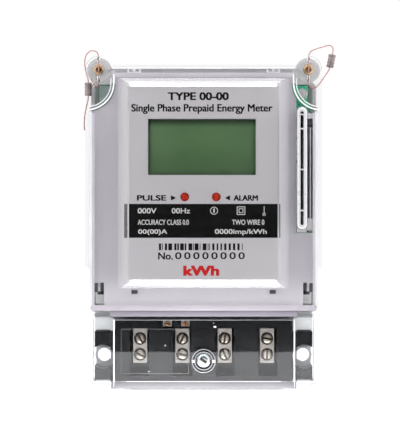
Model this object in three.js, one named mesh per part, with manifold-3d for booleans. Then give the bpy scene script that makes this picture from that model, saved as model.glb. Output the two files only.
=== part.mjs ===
// Single-phase prepaid electricity meter: clear main cover over a silver front panel, black terminal
// block with four screw terminals, clear terminal cover, card slot, and the electronics inside.
// Millimetres. +X is right as seen from the front, +Z is up, the wall is the plane Y = 0, and the
// front faces -Y. The origin is the centre of the rear wall face.
import * as THREE from "three";
import { mergeVertices } from "three/addons/utils/BufferGeometryUtils.js";
import Module from "manifold-3d";

const wasm = await Module();
wasm.setup();

// ---- Driving dimensions -------------------------------------------------------------------------
const GAP = 0.3; // air between pieces that touch on the real meter
const SIDES = 16; // sides of a screw-sized cylinder

// Base shell, the tray that goes against the wall
const BASE = { halfWidth: 58, top: 82, bottom: -43.6, rim: -18, wall: 2.2, floor: 2.5 };
const CORNER_CUT = 9; // the sealed compartment's top corners are cut off inside the screw lugs
const POST_RADIUS = 3;
const HANGER_PAD = { halfWidth: 14, front: -8.6 };
const SHOULDER = { inner: 46.2, outer: 56.2, bottom: -53, front: -16 };
const BACKPLATE = { halfWidth: 46.4, bottom: -78.4, thickness: 1.7, padThickness: 3 };
const EAR_RING = { front: -5.5, radius: 4.6, screwHole: 3.4 };

// Screw lugs at the two top corners, shared by base and main cover
const LUG = { x: 53.6, z: 80.8, baseRadius: 6.4, coverRadius: 6.7, front: -31, seat: -27 };
const LUG_BORE = { head: 3.5, shank: 1.9 };
const SEAL_WIRE = { radius: 0.35, y: -29.9, hole: 0.65 };

// Main cover: wide rim, tapered walls, flat front and a raised window
const COVER = {
  rim: { x: 60.8, top: 83.8, bottom: -43.4, back: -14, front: -21 },
  root: { x: 59.6, top: 82.8, bottom: -42.6, y: -20.5 },
  face: { x: 57.2, top: 79.3, bottom: -41.3, y: -56.5 },
  inside: { x: 56.4, top: 80.4, bottom: -41.2 },
  grip: { top: -31, bottom: -42.6, front: -24, depth: 0.8 },
  shelf: -19,
  wall: 1.9,
  skirtGap: 0.4,
};
const WINDOW = {
  foot: { left: -42.6, right: 42.2, bottom: -29.9, top: 74.5 },
  head: { left: -37.8, right: 37.4, bottom: -26.6, top: 70.9 },
  front: -60,
  slopeInset: 0.7, // keeps the sloping sides as thick as the rest of the cover
};
const NOTCH = { x: 58.2, z: 72.3, radius: 12, wall: 1.6, floorBack: -24, floorFront: -26 };

// Card slot on the right of the front: a 54 mm wide card goes in edge on
const CARD = { x: 48.9, z: 29.7, slotLength: 56.7, slotWidth: 1.6, rimRadius: 2.25, rimLength: 60.7 };

// Silver front panel and the sheet printed with the ratings
const PANEL = { back: -47.2, front: -49.2, halfWidth: 55, top: 77.4, bottom: -38.9 };
const PANEL_CORNER = { width: 5.2, top: -27.4 };
const CLIP = { x: 34.6, z: -32.1, ringOuter: 2.9, ringInner: 2.4 };
const SHEET = { left: -40, right: 38.6, bottom: -27.6, top: 73.4 };
const DISPLAY = { left: -27.8, right: 26.1, bottom: 26.5, top: 54.5 };
const GLASS = { side: 2.6, end: 3.4, back: -43.5, front: -46.3 };
const HOLDER = { left: -31, right: 29.3, bottom: 22.4, top: 58.6, rail: 3, front: -43.2 };
const LAMPS = [
  { name: "led_pulse", x: -9.5 },
  { name: "led_alarm", x: 6.3 },
];
const LAMP = { z: 15.5, radius: 1.95, hole: 2.25 };

// Circuit board
const BOARD = { back: -20.4, front: -22, halfWidth: 54, top: 73.2, bottom: -36 };
const BOARD_SCREW = { x: 47, z: -31, hole: 1.6 };
const UPPER_POSTS = [
  [-40, 62],
  [38, 66],
];

// Card reader behind the slot: socket, contact board and the frame round them
const SOCKET = { left: 46.7, right: 51.6, bottom: -2.3, top: 59.2, front: -49 };
const CONTACTS = { left: 51.9, right: 53.2, bottom: 5, top: 50, front: -44 };
const BRACKET = { left: 51.9, right: 55.4, back: -26, front: -46 };

// Power parts between the terminals and the board
const LINK = { back: -9.3, front: -11.1, bottom: -40, halfWidth: 3.2 };

// Terminal block and its four brass terminals
const BLOCK = { halfWidth: 44.4, top: -46.5, bottom: -77, back: -2, front: -46 };
// Each ear of the block has a wide round notch, open to the side, in front of a screw hole in the base.
const EAR = { outer: 56.1, top: -53.5, bottom: -78.5, back: -3.3, front: -20, holeX: 51.9, holeZ: -66.6 };
const EAR_NOTCH = 6.2;
const PITCH = 21.5;
const TERMINAL_X = [-1.5, -0.5, 0.5, 1.5].map((step) => step * PITCH);
const WELL = { halfWidth: 4.8, top: -50.6, bottom: -74.5, back: -10.8 };
const TERMINAL = { halfWidth: 3.55, top: -51.2, bottom: -68.8, front: -33, back: -12.9 };
const BORE = { radius: 3.1, y: -24, end: -53 };
const SCREW_Z = [-56.4, -64.5];
const SCREW_SEAT = [-31.4, -32.2]; // the lower screw of each pair stands further out
const TONGUE = { halfWidth: 3, back: -11.4, front: -12.9, top: -33, bottom: -66 };
const PULSE_X = [-18.3, -9.2];
const PULSE_Z = -48.4;

// Terminal cover: a deep centre box with lower flanks over the mounting ears
const LID = { box: 48, boxFront: 46.6, front: -51, flank: 58.6, flankFront: -26, top: -44.4, bottom: -80.8 };
const LID_WALL = 1.8;
const BOSS = { x: 0, z: -66.5, outer: 6, recess: 4.3, collarFront: -52.5, seat: -47.5, back: -44.6 };
const BOSS_SHANK_BORE = 2.2;
const CABLE_OPENING = { halfWidth: 40, back: -14, front: -33 };
const LABEL_FRAME = { left: -41.5, right: -7.3, bottom: -73.1, top: -50.4, line: 0.5, height: 0.35 };
const HOOK = { places: [-26.9, 27.4], halfWidth: 4.4 };

// Sliding hanger on the back
const HANGER = { halfWidth: 9.8, bottom: 45, top: 81.6, back: -1.2, front: -2.8, rivetZ: 64 };

// ---- Materials ----------------------------------------------------------------------------------
function plain(color, roughness, metalness = 0) {
  return new THREE.MeshStandardMaterial({ color, roughness, metalness });
}
function seeThrough(color, opacity) {
  return new THREE.MeshStandardMaterial({ color, roughness: 0.1, transparent: true, opacity });
}
const MATERIALS = {
  clear: seeThrough(0xf2f5f8, 0.25),
  guide: seeThrough(0xffffff, 0.8),
  lightGrey: plain(0xd2d5d6, 0.5),
  silver: plain(0xbcbabf, 0.4, 0.3),
  label: plain(0xc4c3c6, 0.45, 0.1),
  black: plain(0x1d1e20, 0.35),
  brass: plain(0xd8cfc0, 0.3, 0.9),
  zinc: plain(0xdfe6e8, 0.25, 0.9),
  steel: plain(0xa9acae, 0.4, 0.9),
  copper: plain(0xc98a66, 0.35, 0.9),
  rubber: plain(0x3b3d3f, 0.8),
  board: plain(0x1f7a4d, 0.45),
  display: plain(0x4c7a48, 0.2),
  whitePlastic: plain(0xeeeeec, 0.4),
  redLens: plain(0xd8311c, 0.2),
  lead: plain(0x7d7377, 0.5, 0.6),
  wire: plain(0xb98f86, 0.4, 0.8),
  blue: plain(0x2b4f8f, 0.4),
};

// ---- Geometry helpers ---------------------------------------------------------------------------
// A closed geometry as a manifold-3d solid.
function toSolid(geometry) {
  const bare = geometry.index ? geometry.toNonIndexed() : geometry.clone();
  bare.deleteAttribute("normal");
  bare.deleteAttribute("uv");
  const merged = mergeVertices(bare, 1e-4);
  return new wasm.Manifold(
    new wasm.Mesh({
      numProp: 3,
      vertProperties: merged.attributes.position.array,
      triVerts: new Uint32Array(merged.index.array),
    }),
  );
}

// A manifold-3d solid as a geometry.
function toGeometry(solid) {
  const { vertProperties, triVerts } = solid.getMesh();
  const geometry = new THREE.BufferGeometry();
  geometry.setAttribute("position", new THREE.BufferAttribute(new Float32Array(vertProperties), 3));
  geometry.setIndex(new THREE.BufferAttribute(new Uint32Array(triVerts), 1));
  geometry.computeVertexNormals();
  return geometry;
}

function join(...pieces) {
  return toGeometry(pieces.map(toSolid).reduce((whole, piece) => whole.add(piece)));
}

function cut(body, ...tools) {
  return toGeometry(tools.map(toSolid).reduce((rest, tool) => rest.subtract(tool), toSolid(body)));
}

function box(x0, x1, y0, y1, z0, z1) {
  const geometry = new THREE.BoxGeometry(Math.abs(x1 - x0), Math.abs(y1 - y0), Math.abs(z1 - z0));
  return geometry.translate((x0 + x1) / 2, (y0 + y1) / 2, (z0 + z1) / 2);
}

// Cylinders along each axis, between two places on it.
function rodY(x, z, radius, y0, y1, sides = SIDES) {
  const geometry = new THREE.CylinderGeometry(radius, radius, Math.abs(y1 - y0), sides);
  return geometry.translate(x, (y0 + y1) / 2, z);
}

function rodZ(x, y, radius, z0, z1, sides = SIDES) {
  const geometry = new THREE.CylinderGeometry(radius, radius, Math.abs(z1 - z0), sides);
  return geometry.rotateX(Math.PI / 2).translate(x, y, (z0 + z1) / 2);
}

// Outlines are counter-clockwise points of the XZ plane, as seen from the front.
function roundedOutline(left, right, bottom, top, radius, steps = 4) {
  const corners = [
    [right - radius, bottom + radius, -0.5],
    [right - radius, top - radius, 0],
    [left + radius, top - radius, 0.5],
    [left + radius, bottom + radius, 1],
  ];
  return corners.flatMap(([x, z, quarter]) =>
    Array.from({ length: steps + 1 }, (_, i) => {
      const angle = Math.PI * (quarter + (0.5 * i) / steps);
      return new THREE.Vector2(x + radius * Math.cos(angle), z + radius * Math.sin(angle));
    }),
  );
}

// A solid through outlines of equal length, given from back to front as [outline, y].
function loft(...sections) {
  const count = sections[0][0].length;
  const points = sections.flatMap(([outline, y]) => outline.map((p) => [p.x, y, p.y]));
  const faces = [];
  for (let level = 0; level + 1 < sections.length; level += 1) {
    for (let i = 0; i < count; i += 1) {
      const [a, b] = [level * count + i, level * count + ((i + 1) % count)];
      faces.push([a, b, b + count], [a, b + count, a + count]);
    }
  }
  const last = (sections.length - 1) * count;
  for (const [a, b, c] of THREE.ShapeUtils.triangulateShape(sections[0][0], [])) faces.push([c, b, a]);
  for (const [a, b, c] of THREE.ShapeUtils.triangulateShape(sections.at(-1)[0], [])) {
    faces.push([last + a, last + b, last + c]);
  }
  const geometry = new THREE.BufferGeometry();
  geometry.setAttribute("position", new THREE.Float32BufferAttribute(points.flat(), 3));
  geometry.setIndex(faces.flat());
  return geometry;
}

function slab(outline, back, front) {
  return loft([outline, back], [outline, front]);
}

// A long hole's outline: straight sides along Z, and round ends.
function stadium(x, z, radius, length, steps = 6) {
  return roundedOutline(x - radius, x + radius, z - length / 2, z + length / 2, radius - 1e-3, steps);
}

function tube(points, radius, steps) {
  const section = new THREE.Shape();
  section.absarc(0, 0, radius, 0, 2 * Math.PI, false);
  const path = new THREE.CatmullRomCurve3(points.map((p) => new THREE.Vector3(...p)));
  return new THREE.ExtrudeGeometry(section, { steps, curveSegments: 4, extrudePath: path });
}

const bothSides = (make) => [make(-1), make(1)];

// A screw along Y: its head stands on the seat, and its shank goes in towards the wall.
function screw({ x, z, seat, head, height, shank, length, slot }) {
  const front = seat - height;
  const body = join(
    rodY(x, z, head, seat, front),
    rodY(x, z, shank, seat - 0.1, seat + length, 12),
  );
  const depth = 0.45 * height;
  const reach = slot ? 1.05 * head : 0.62 * head;
  const width = 0.17 * head;
  return cut(
    body,
    box(x - reach, x + reach, front - 1, front + depth, z - width, z + width),
    box(x - width, x + width, front - 1, front + depth, z - 0.62 * head, z + 0.62 * head),
  );
}

// ---- Base, hanger and gasket --------------------------------------------------------------------
// The sealed compartment's outline, with its top corners cut off, grown or shrunk by inset.
function compartment(inset) {
  const [x, top, bottom] = [BASE.halfWidth - inset, BASE.top - inset, BASE.bottom + inset];
  const corner = CORNER_CUT - 0.6 * inset;
  return [
    [-x, bottom],
    [x, bottom],
    [x, top - corner],
    [x - corner, top],
    [-x + corner, top],
    [-x, top - corner],
  ].map(([u, v]) => new THREE.Vector2(u, v));
}

function boardPosts() {
  const lowerPosts = bothSides((side) => [side * BOARD_SCREW.x, BOARD_SCREW.z]);
  return [...lowerPosts, ...UPPER_POSTS].map(([x, z]) =>
    rodY(x, z, POST_RADIUS, -BASE.floor + 0.2, BOARD.back + GAP, 14),
  );
}

function baseShell() {
  const tray = cut(
    slab(compartment(0), 0, BASE.rim),
    slab(compartment(BASE.wall), -BASE.floor, BASE.rim - 1),
  );
  const lugs = bothSides((side) => rodY(side * LUG.x, LUG.z, LUG.baseRadius, 0, BASE.rim, 28));
  const shoulders = bothSides((side) =>
    box(side * SHOULDER.inner, side * SHOULDER.outer, 0, SHOULDER.front, SHOULDER.bottom, BASE.bottom + 0.2),
  );
  const backplate = box(
    -BACKPLATE.halfWidth,
    BACKPLATE.halfWidth,
    0,
    -BACKPLATE.thickness,
    BACKPLATE.bottom,
    BASE.bottom + 0.2,
  );
  const earPads = bothSides((side) =>
    box(
      side * (BACKPLATE.halfWidth - 1),
      side * SHOULDER.outer,
      0,
      -BACKPLATE.padThickness,
      BACKPLATE.bottom,
      SHOULDER.bottom + 0.2,
    ),
  );
  const earRings = bothSides((side) =>
    rodY(side * EAR.holeX, EAR.holeZ, EAR_RING.radius, -1, EAR_RING.front, 28),
  );
  const { halfWidth: padHalf, front: padFront } = HANGER_PAD;
  const hangerPad = box(-padHalf, padHalf, -1, padFront, HANGER.bottom - 4, BASE.top - 1);
  const cornerLugs = cut(join(...lugs), slab(compartment(BASE.wall), -BASE.floor, BASE.rim - 1));
  const mountings = [...shoulders, backplate, ...earPads, ...earRings, hangerPad, ...boardPosts()];
  const body = join(tray, cornerLugs, ...mountings);
  const wallHoles = bothSides((side) => rodY(side * EAR.holeX, EAR.holeZ, EAR_RING.screwHole, 1, -7, 24));
  const screwHoles = bothSides((side) => rodY(side * LUG.x, LUG.z, 1.7, -3, BASE.rim - 1));
  const tongueSlots = TERMINAL_X.map((x) =>
    box(x - 3.6, x + 3.6, TONGUE.back + 0.8, TONGUE.front - 0.6, BASE.bottom - 1, BASE.bottom + 4),
  );
  const hangerRecess = box(-10.2, 10.2, 1, -3.4, HANGER.bottom - 1, BASE.top + 1);
  const headPocket = box(-6, 6, -3, -7, 66, BASE.top - BASE.wall - 1);
  const rivetHole = rodY(0, HANGER.rivetZ, 2.2, -3, -6);
  return cut(body, ...screwHoles, ...wallHoles, ...tongueSlots, hangerRecess, headPocket, rivetHole);
}

function hangerPlate() {
  const plate = slab(
    roundedOutline(-HANGER.halfWidth, HANGER.halfWidth, HANGER.bottom, HANGER.top, 2.5, 3),
    HANGER.back,
    HANGER.front,
  );
  const rivetSlot = slab(stadium(0, 58, 2.3, 16.6), HANGER.back + 1, HANGER.front - 1);
  const screwHole = rodY(0, 75.6, 3.2, HANGER.back + 1, HANGER.front - 1, 24);
  return cut(plate, rivetSlot, screwHole);
}

function hangerRivet() {
  return join(
    rodY(0, HANGER.rivetZ, 4, -0.3, -0.95),
    rodY(0, HANGER.rivetZ, 1.9, -0.9, -5.6),
  );
}

function coverGasket() {
  const back = BASE.rim - 0.15;
  const front = COVER.shelf + 0.15;
  return cut(slab(compartment(0.5), back, front), slab(compartment(1.9), back + 1, front - 1));
}

// ---- Main cover and what rides on it ------------------------------------------------------------
function mainCoverShell() {
  const { rim, root, face, inside, grip, wall, shelf, skirtGap } = COVER;
  const outer = join(
    slab(roundedOutline(-rim.x, rim.x, rim.bottom, rim.top, 3), rim.back, rim.front),
    loft(
      [roundedOutline(-root.x, root.x, root.bottom, root.top, 3), root.y],
      [roundedOutline(-face.x, face.x, face.bottom, face.top, 3), face.y],
    ),
    windowBlock(0, 0, face.y + 0.5),
    ...bothSides((side) =>
      box(side * (rim.x - 1), side * (rim.x + grip.depth), rim.back, grip.front, grip.bottom, grip.top),
    ),
  );
  const cavity = join(
    loft(
      [roundedOutline(-inside.x, inside.x, inside.bottom, inside.top, 2), shelf + 0.5],
      [roundedOutline(-face.x + wall, face.x - wall, face.bottom + wall, face.top - wall, 2), face.y + wall],
    ),
    windowBlock(WINDOW.slopeInset, wall, face.y + wall + 0.5),
  );
  const wallBacks = bothSides((side) => notch(side, NOTCH.wall, NOTCH.floorBack, -80));
  const skirtHalf = BASE.halfWidth + skirtGap;
  const skirt = box(-skirtHalf, skirtHalf, 0, shelf, -60, BASE.top + skirtGap);
  const notches = bothSides((side) => notch(side, 0, NOTCH.floorFront, -80));
  return cut(outer, cut(cavity, ...wallBacks), skirt, ...notches);
}

// A corner notch's volume: round below, straight up past the top edge, and grown on every side.
function notch(side, grow, y0, y1) {
  const reach = NOTCH.radius + grow;
  return join(
    rodY(side * NOTCH.x, NOTCH.z, reach, y0, y1, 48),
    box(side * (NOTCH.x - reach), side * (NOTCH.x + reach), y0, y1, NOTCH.z, 100),
  );
}

// The raised window's frustum, shrunk by inset on every side and set back by depth.
function windowBlock(inset, depth, back) {
  const { foot, head, front } = WINDOW;
  const outline = ({ left, right, bottom, top }) =>
    roundedOutline(left + inset, right - inset, bottom + inset, top - inset, 1.2, 2);
  return loft([outline(foot), back], [outline(foot), COVER.face.y + depth], [outline(head), front + depth]);
}

function mainCover() {
  const shell = mainCoverShell();
  const lugs = bothSides((side) => rodY(side * LUG.x, LUG.z, LUG.coverRadius, COVER.shelf, LUG.front, 32));
  const cutters = bothSides((side) => [
    rodY(side * LUG.x, LUG.z, LUG.baseRadius + 0.5, 0, COVER.shelf, 32),
    rodY(side * LUG.x, LUG.z, LUG_BORE.head, LUG.seat, LUG.front - 1, 24),
    rodY(side * LUG.x, LUG.z, LUG_BORE.shank, COVER.shelf + 1, LUG.seat - 1, 16),
    rodZ(side * LUG.x, SEAL_WIRE.y, SEAL_WIRE.hole, LUG.z - 9, LUG.z + 9, 10),
  ]).flat();
  const cardHole = slab(stadium(CARD.x, CARD.z, CARD.rimRadius + 0.3, CARD.rimLength + 0.6), -50, -60);
  return cut(join(shell, ...lugs), ...cutters, cardHole);
}

function cardSlotGuide() {
  const nose = slab(stadium(CARD.x, CARD.z, CARD.rimRadius, CARD.rimLength), -49.6, -57.8);
  const flange = slab(stadium(CARD.x, CARD.z, CARD.rimRadius + 0.6, CARD.rimLength + 1.2), -53.2, -54.3);
  const slot = slab(stadium(CARD.x, CARD.z, CARD.slotWidth / 2, CARD.slotLength), -49, -59);
  return cut(join(nose, flange), slot);
}

function coverScrew(side) {
  return screw({
    x: side * LUG.x,
    z: LUG.z,
    seat: LUG.seat - 0.05,
    head: 2.75,
    height: 2,
    shank: 1.5,
    length: 17,
  });
}

// The stretch of seal wire that crosses in front of the screw head inside the lug.
function sealBridge(side) {
  return rodZ(side * LUG.x, SEAL_WIRE.y, SEAL_WIRE.radius, LUG.z - 6.6, LUG.z + 6.6, 8);
}

// Free wires, from the lug's upper hole through the crimped seal.
const LEFT_WIRE = [
  [-53.6, -29.9, 87.8],
  [-54.6, -30.2, 89.6],
  [-57.4, -30.8, 90.2],
  [-60.0, -31.3, 87.6],
  [-60.6, -31.5, 83.4],
  [-59.9, -31.5, 79.0],
  [-58.9, -31.5, 75.6],
  [-58.8, -31.5, 72.6],
  [-58.8, -31.5, 68.4],
  [-58.9, -31.5, 65.2],
  [-59.8, -31.4, 61.4],
  [-60.6, -31.2, 57.0],
  [-60.9, -31.0, 52.4],
  [-60.7, -30.8, 49.6],
];
const RIGHT_WIRE = [
  [53.6, -29.9, 87.8],
  [54.7, -30.3, 89.8],
  [57.6, -30.9, 91.2],
  [61.2, -31.3, 92.2],
  [64.2, -31.5, 92.9],
  [65.9, -31.5, 91.6],
  [65.9, -31.5, 89.4],
  [65.3, -31.5, 86.6],
  [64.6, -31.5, 83.2],
  [63.9, -31.5, 80.4],
  [61.6, -31.4, 76.9],
  [59.2, -31.1, 73.4],
  [57.2, -30.7, 71.4],
  [55.2, -30.2, 71.2],
  [53.8, -29.95, 72.5],
  [53.6, -29.9, 73.8],
];
// The left wire's second strand, from the lug's lower hole up to the seal.
const LEFT_STRAND = [
  [-53.6, -29.9, 73.8],
  [-53.9, -30.1, 72.2],
  [-55.1, -30.8, 71.8],
  [-55.9, -31.3, 73.4],
  [-57.6, -31.5, 75.6],
];

// A crimped seal: a flattened slug with a wire hole, turned about its own centre.
function seal({ x, y, z, lean }) {
  const slug = new THREE.CylinderGeometry(1.9, 1.9, 6.8, 16).rotateX(Math.PI / 2).scale(1, 0.72, 1);
  const hole = new THREE.CylinderGeometry(0.85, 0.85, 9, 10).rotateX(Math.PI / 2);
  return cut(slug, hole).rotateY(lean).translate(x, y, z);
}

// ---- Front panel, nameplate and display ---------------------------------------------------------
function frontPanel() {
  const { halfWidth: x, top, bottom, back, front } = PANEL;
  const face = box(-x, x, back, front, bottom, top);
  const notches = bothSides((side) => notch(side, NOTCH.wall + 0.45, 0, -60));
  const cardCut = box(SOCKET.left - GAP, 60, 0, -60, SOCKET.bottom - GAP, 80);
  const cornerCuts = bothSides((side) =>
    box(side * (x - PANEL_CORNER.width), side * (x + 1), 0, -60, bottom - 1, PANEL_CORNER.top),
  );
  const clipHoles = bothSides((side) =>
    box(side * CLIP.x - 1.6, side * CLIP.x + 1.6, 0, -60, CLIP.z - 1, CLIP.z + 1),
  );
  const apron = loft(
    [roundedOutline(-42, 40, 77.8, 79.2, 0.3, 1), -26],
    [roundedOutline(-41, 40, 75.6, 77.2, 0.3, 1), back - 0.2],
  );
  const clipRings = bothSides((side) =>
    cut(
      rodY(side * CLIP.x, CLIP.z, CLIP.ringOuter, front + 0.3, front - 0.35, 24),
      rodY(side * CLIP.x, CLIP.z, CLIP.ringInner, front + 1, front - 1, 24),
    ),
  );
  const clipTabs = bothSides((side) => box(side * CLIP.x - 3, side * CLIP.x + 3, -30, -45, top - 2, top));
  return cut(
    join(face, apron, ...clipRings, ...clipTabs),
    ...notches,
    cardCut,
    ...cornerCuts,
    ...clipHoles,
    displayOpening(0),
    ...lampHoles(),
  );
}

function displayOpening(margin) {
  const { left, right, bottom, top } = DISPLAY;
  return box(left - margin, right + margin, -40, -60, bottom - margin, top + margin);
}

function lampHoles() {
  return LAMPS.map(({ x }) => rodY(x, LAMP.z, LAMP.hole, -40, -60, 24));
}

function nameplate() {
  const { left, right, bottom, top } = SHEET;
  const sheet = slab(roundedOutline(left, right, bottom, top, 1, 2), PANEL.front - 0.05, PANEL.front - 0.35);
  return cut(sheet, displayOpening(0.3), ...lampHoles());
}

function displayModule() {
  const { left, right, bottom, top } = DISPLAY;
  const { side, end, back, front } = GLASS;
  return box(left - side, right + side, back, front, bottom - end, top + end);
}

function displayHolder() {
  const { left, right, bottom, top, rail, front } = HOLDER;
  const frame = box(left, right, BOARD.front - GAP, front, bottom, top);
  return cut(frame, box(left + rail, right - rail, 0, -60, bottom + rail, top - rail));
}

function lamp({ x }) {
  const lens = rodY(x, LAMP.z, LAMP.radius, -44, -49.2);
  const dome = new THREE.SphereGeometry(LAMP.radius, 12, 6).translate(x, -49.2, LAMP.z);
  const legs = bothSides((side) => rodY(x + side * 1.27, LAMP.z, 0.3, BOARD.front - GAP, -44.2, 6));
  return join(lens, dome, ...legs);
}

// ---- Card reader --------------------------------------------------------------------------------
function cardSocket() {
  const body = box(SOCKET.left, SOCKET.right, BOARD.front - GAP, SOCKET.front, SOCKET.bottom, SOCKET.top);
  const slotHalf = CARD.slotWidth / 2;
  const slot = box(
    CARD.x - slotHalf,
    CARD.x + slotHalf,
    -26,
    -60,
    CARD.z - CARD.slotLength / 2,
    CARD.z + CARD.slotLength / 2,
  );
  return cut(body, slot);
}

function cardContactBoard() {
  const { left, right, bottom, top, front } = CONTACTS;
  return box(left, right, BOARD.front - GAP, front, bottom, top);
}

function cardBracket(bottom, top) {
  return box(BRACKET.left, BRACKET.right, BRACKET.back, BRACKET.front, bottom, top);
}

function cardSwitch() {
  return box(BRACKET.left, BRACKET.right - 0.1, -30, -45.6, 50.4, 54.6);
}

function cardCable() {
  return box(53.5, 54.3, BOARD.front - GAP, -40, 10, 45);
}

// ---- Circuit board and components ---------------------------------------------------------------
function mainBoard() {
  const { halfWidth: x, top, bottom, back, front } = BOARD;
  const screwHoles = bothSides((side) =>
    rodY(side * BOARD_SCREW.x, BOARD_SCREW.z, BOARD_SCREW.hole, 0, -40, 12),
  );
  return cut(box(-x, x, back, front, bottom, top), ...screwHoles);
}

function boardScrew(side) {
  return screw({
    x: side * BOARD_SCREW.x,
    z: BOARD_SCREW.z,
    seat: BOARD.front - 0.05,
    head: 2.6,
    height: 1.7,
    shank: 1.3,
    length: 1.7,
  });
}

function relay() {
  const liveIn = TERMINAL_X[0];
  return join(
    box(-40, -2, -3, BOARD.back + GAP, -30.5, 0),
    box(liveIn - 3, liveIn + 3, LINK.back - 0.2, LINK.front, LINK.bottom, -30),
  );
}

function currentShunt() {
  const liveOut = TERMINAL_X[1];
  return box(liveOut - LINK.halfWidth, liveOut + LINK.halfWidth, LINK.back, LINK.front, LINK.bottom, -30.8);
}

function neutralLink() {
  const [left, right] = [TERMINAL_X[2] - LINK.halfWidth, TERMINAL_X[3] + LINK.halfWidth];
  return box(left, right, LINK.back, LINK.front, LINK.bottom, -34);
}

function transformer() {
  return join(
    box(12, 36, BOARD.front - GAP, -38, -30, -12),
    box(16, 32, BOARD.front - GAP, -42, -33, -9),
  );
}

// ---- Terminal block -----------------------------------------------------------------------------
function terminalBlock() {
  const { halfWidth: x, top, bottom, back, front } = BLOCK;
  const ears = bothSides((side) =>
    box(side * (x - 1), side * EAR.outer, EAR.back, EAR.front, EAR.bottom, EAR.top),
  );
  const wells = TERMINAL_X.flatMap((cx) => [
    box(cx - WELL.halfWidth, cx + WELL.halfWidth, WELL.back, front - 1, WELL.bottom, WELL.top),
    rodZ(cx, BORE.y, 4, bottom - 1, WELL.bottom + 1, 20),
    box(cx - 3.5, cx + 3.5, WELL.back, TONGUE.front - 0.6, WELL.top - 1, top + 1),
  ]);
  const pulsePockets = PULSE_X.map((px) => box(px - 2.6, px + 2.6, -34, front - 1, PULSE_Z - 2, top + 1));
  const earNotches = bothSides((side) =>
    rodY(side * EAR.holeX, EAR.holeZ, EAR_NOTCH, 1, EAR.front - 1, 32),
  );
  return cut(
    join(...ears, box(-x, x, back, front, bottom, top)),
    ...wells,
    ...pulsePockets,
    ...earNotches,
    rodY(BOSS.x, BOSS.z, 6.6, -43.4, front - 1, 28),
    rodY(BOSS.x, BOSS.z, 3.1, -33.8, front - 1),
  );
}

function coverInsert() {
  return cut(rodY(BOSS.x, BOSS.z, 2.8, -34, -43.2), rodY(BOSS.x, BOSS.z, 2.05, -33, -45, 16));
}

function terminal(index) {
  const cx = TERMINAL_X[index];
  const { halfWidth, top, bottom, front, back } = TERMINAL;
  const tongueHalf = TONGUE.halfWidth;
  const body = join(
    box(cx - halfWidth, cx + halfWidth, back - 0.1, front, bottom, top),
    box(cx - tongueHalf, cx + tongueHalf, TONGUE.back, TONGUE.front - 0.2, TONGUE.bottom, TONGUE.top),
  );
  const screwHoles = SCREW_Z.flatMap((z) => [
    rodY(cx, z, 2.35, BORE.y, front - 1, 16),
    rodY(cx, z, 3.25, -30.8, front - 1, 20),
  ]);
  return cut(body, rodZ(cx, BORE.y, BORE.radius, bottom - 1, BORE.end, 16), ...screwHoles);
}

function terminalScrew(index, row) {
  return screw({
    x: TERMINAL_X[index],
    z: SCREW_Z[row],
    seat: SCREW_SEAT[row],
    head: 2.9,
    height: 2.4,
    shank: 2.15,
    length: 3.9 - (SCREW_SEAT[0] - SCREW_SEAT[row]),
    slot: true,
  });
}

function pulseTerminal(index) {
  const px = PULSE_X[index];
  return cut(
    box(px - 2.2, px + 2.2, -35, -41.5, PULSE_Z - 1.6, PULSE_Z + 1.6),
    rodY(px, PULSE_Z, 1.2, -36, -43, 12),
  );
}

function pulseScrew(index) {
  return screw({
    x: PULSE_X[index],
    z: PULSE_Z,
    seat: -41.6,
    head: 1.45,
    height: 1.6,
    shank: 1.05,
    length: 4.5,
    slot: true,
  });
}

// ---- Terminal cover -----------------------------------------------------------------------------
function terminalCover() {
  const { box: x, boxFront, front, flank, flankFront, top, bottom } = LID;
  const wall = LID_WALL;
  const outer = join(
    slab(roundedOutline(-flank, flank, bottom, top, 2.5, 3), -1, flankFront),
    loft(
      [roundedOutline(-x, x, bottom, top, 1.2, 2), flankFront + 1],
      [roundedOutline(-boxFront, boxFront, bottom, top, 1.2, 2), front],
    ),
  );
  const topInside = BLOCK.top + GAP;
  const inside = (half, radius, steps) =>
    roundedOutline(-half + wall, half - wall, bottom + wall, topInside, radius, steps);
  const cavity = join(
    slab(inside(flank, 1, 2), 0, flankFront + wall),
    loft([inside(x, 0.6, 2), flankFront + wall + 1], [inside(boxFront, 0.6, 2), front + wall]),
  );
  const { halfWidth: cableHalf, back: cableBack, front: cableFront } = CABLE_OPENING;
  const cableOpening = box(-cableHalf, cableHalf, cableBack, cableFront, bottom - 1, bottom + wall + 1);
  const shoulderRelief = box(-flank + wall, flank - wall, 0, SHOULDER.front - 0.6, topInside - 1, top + 1);
  const bossBody = join(
    rodY(BOSS.x, BOSS.z, BOSS.outer, BOSS.back, BOSS.collarFront, 32),
    labelFrame(),
    ...hookTabs(),
  );
  const sealSlot = box(-8, 8, BOSS.collarFront - 1, front - 0.1, BOSS.z - 0.8, BOSS.z + 0.8);
  return cut(
    join(cut(outer, cavity, cableOpening, shoulderRelief), bossBody),
    rodY(BOSS.x, BOSS.z, BOSS.recess, BOSS.seat, BOSS.collarFront - 1, 28),
    rodY(BOSS.x, BOSS.z, BOSS_SHANK_BORE, BOSS.back + 1, BOSS.seat - 1, 16),
    sealSlot,
  );
}

// A raised rectangle on the left of the cover's face, where a wiring diagram goes.
function labelFrame() {
  const { left, right, bottom, top, line, height } = LABEL_FRAME;
  const raised = LID.front - height;
  return cut(
    box(left, right, LID.front + 0.2, raised, bottom, top),
    box(left + line, right - line, LID.front + 1, raised - 1, bottom + line, top - line),
  );
}

// Two thickened pads under the cover's front top edge.
function hookTabs() {
  return HOOK.places.map((cx) =>
    box(cx - HOOK.halfWidth, cx + HOOK.halfWidth, LID.front + 0.2, -46.6, -46.5, LID.top - 0.2),
  );
}

function terminalCoverScrew() {
  return screw({
    x: BOSS.x,
    z: BOSS.z,
    seat: BOSS.seat - 0.05,
    head: 3.7,
    height: 2.4,
    shank: 1.85,
    length: 12,
  });
}

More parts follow.
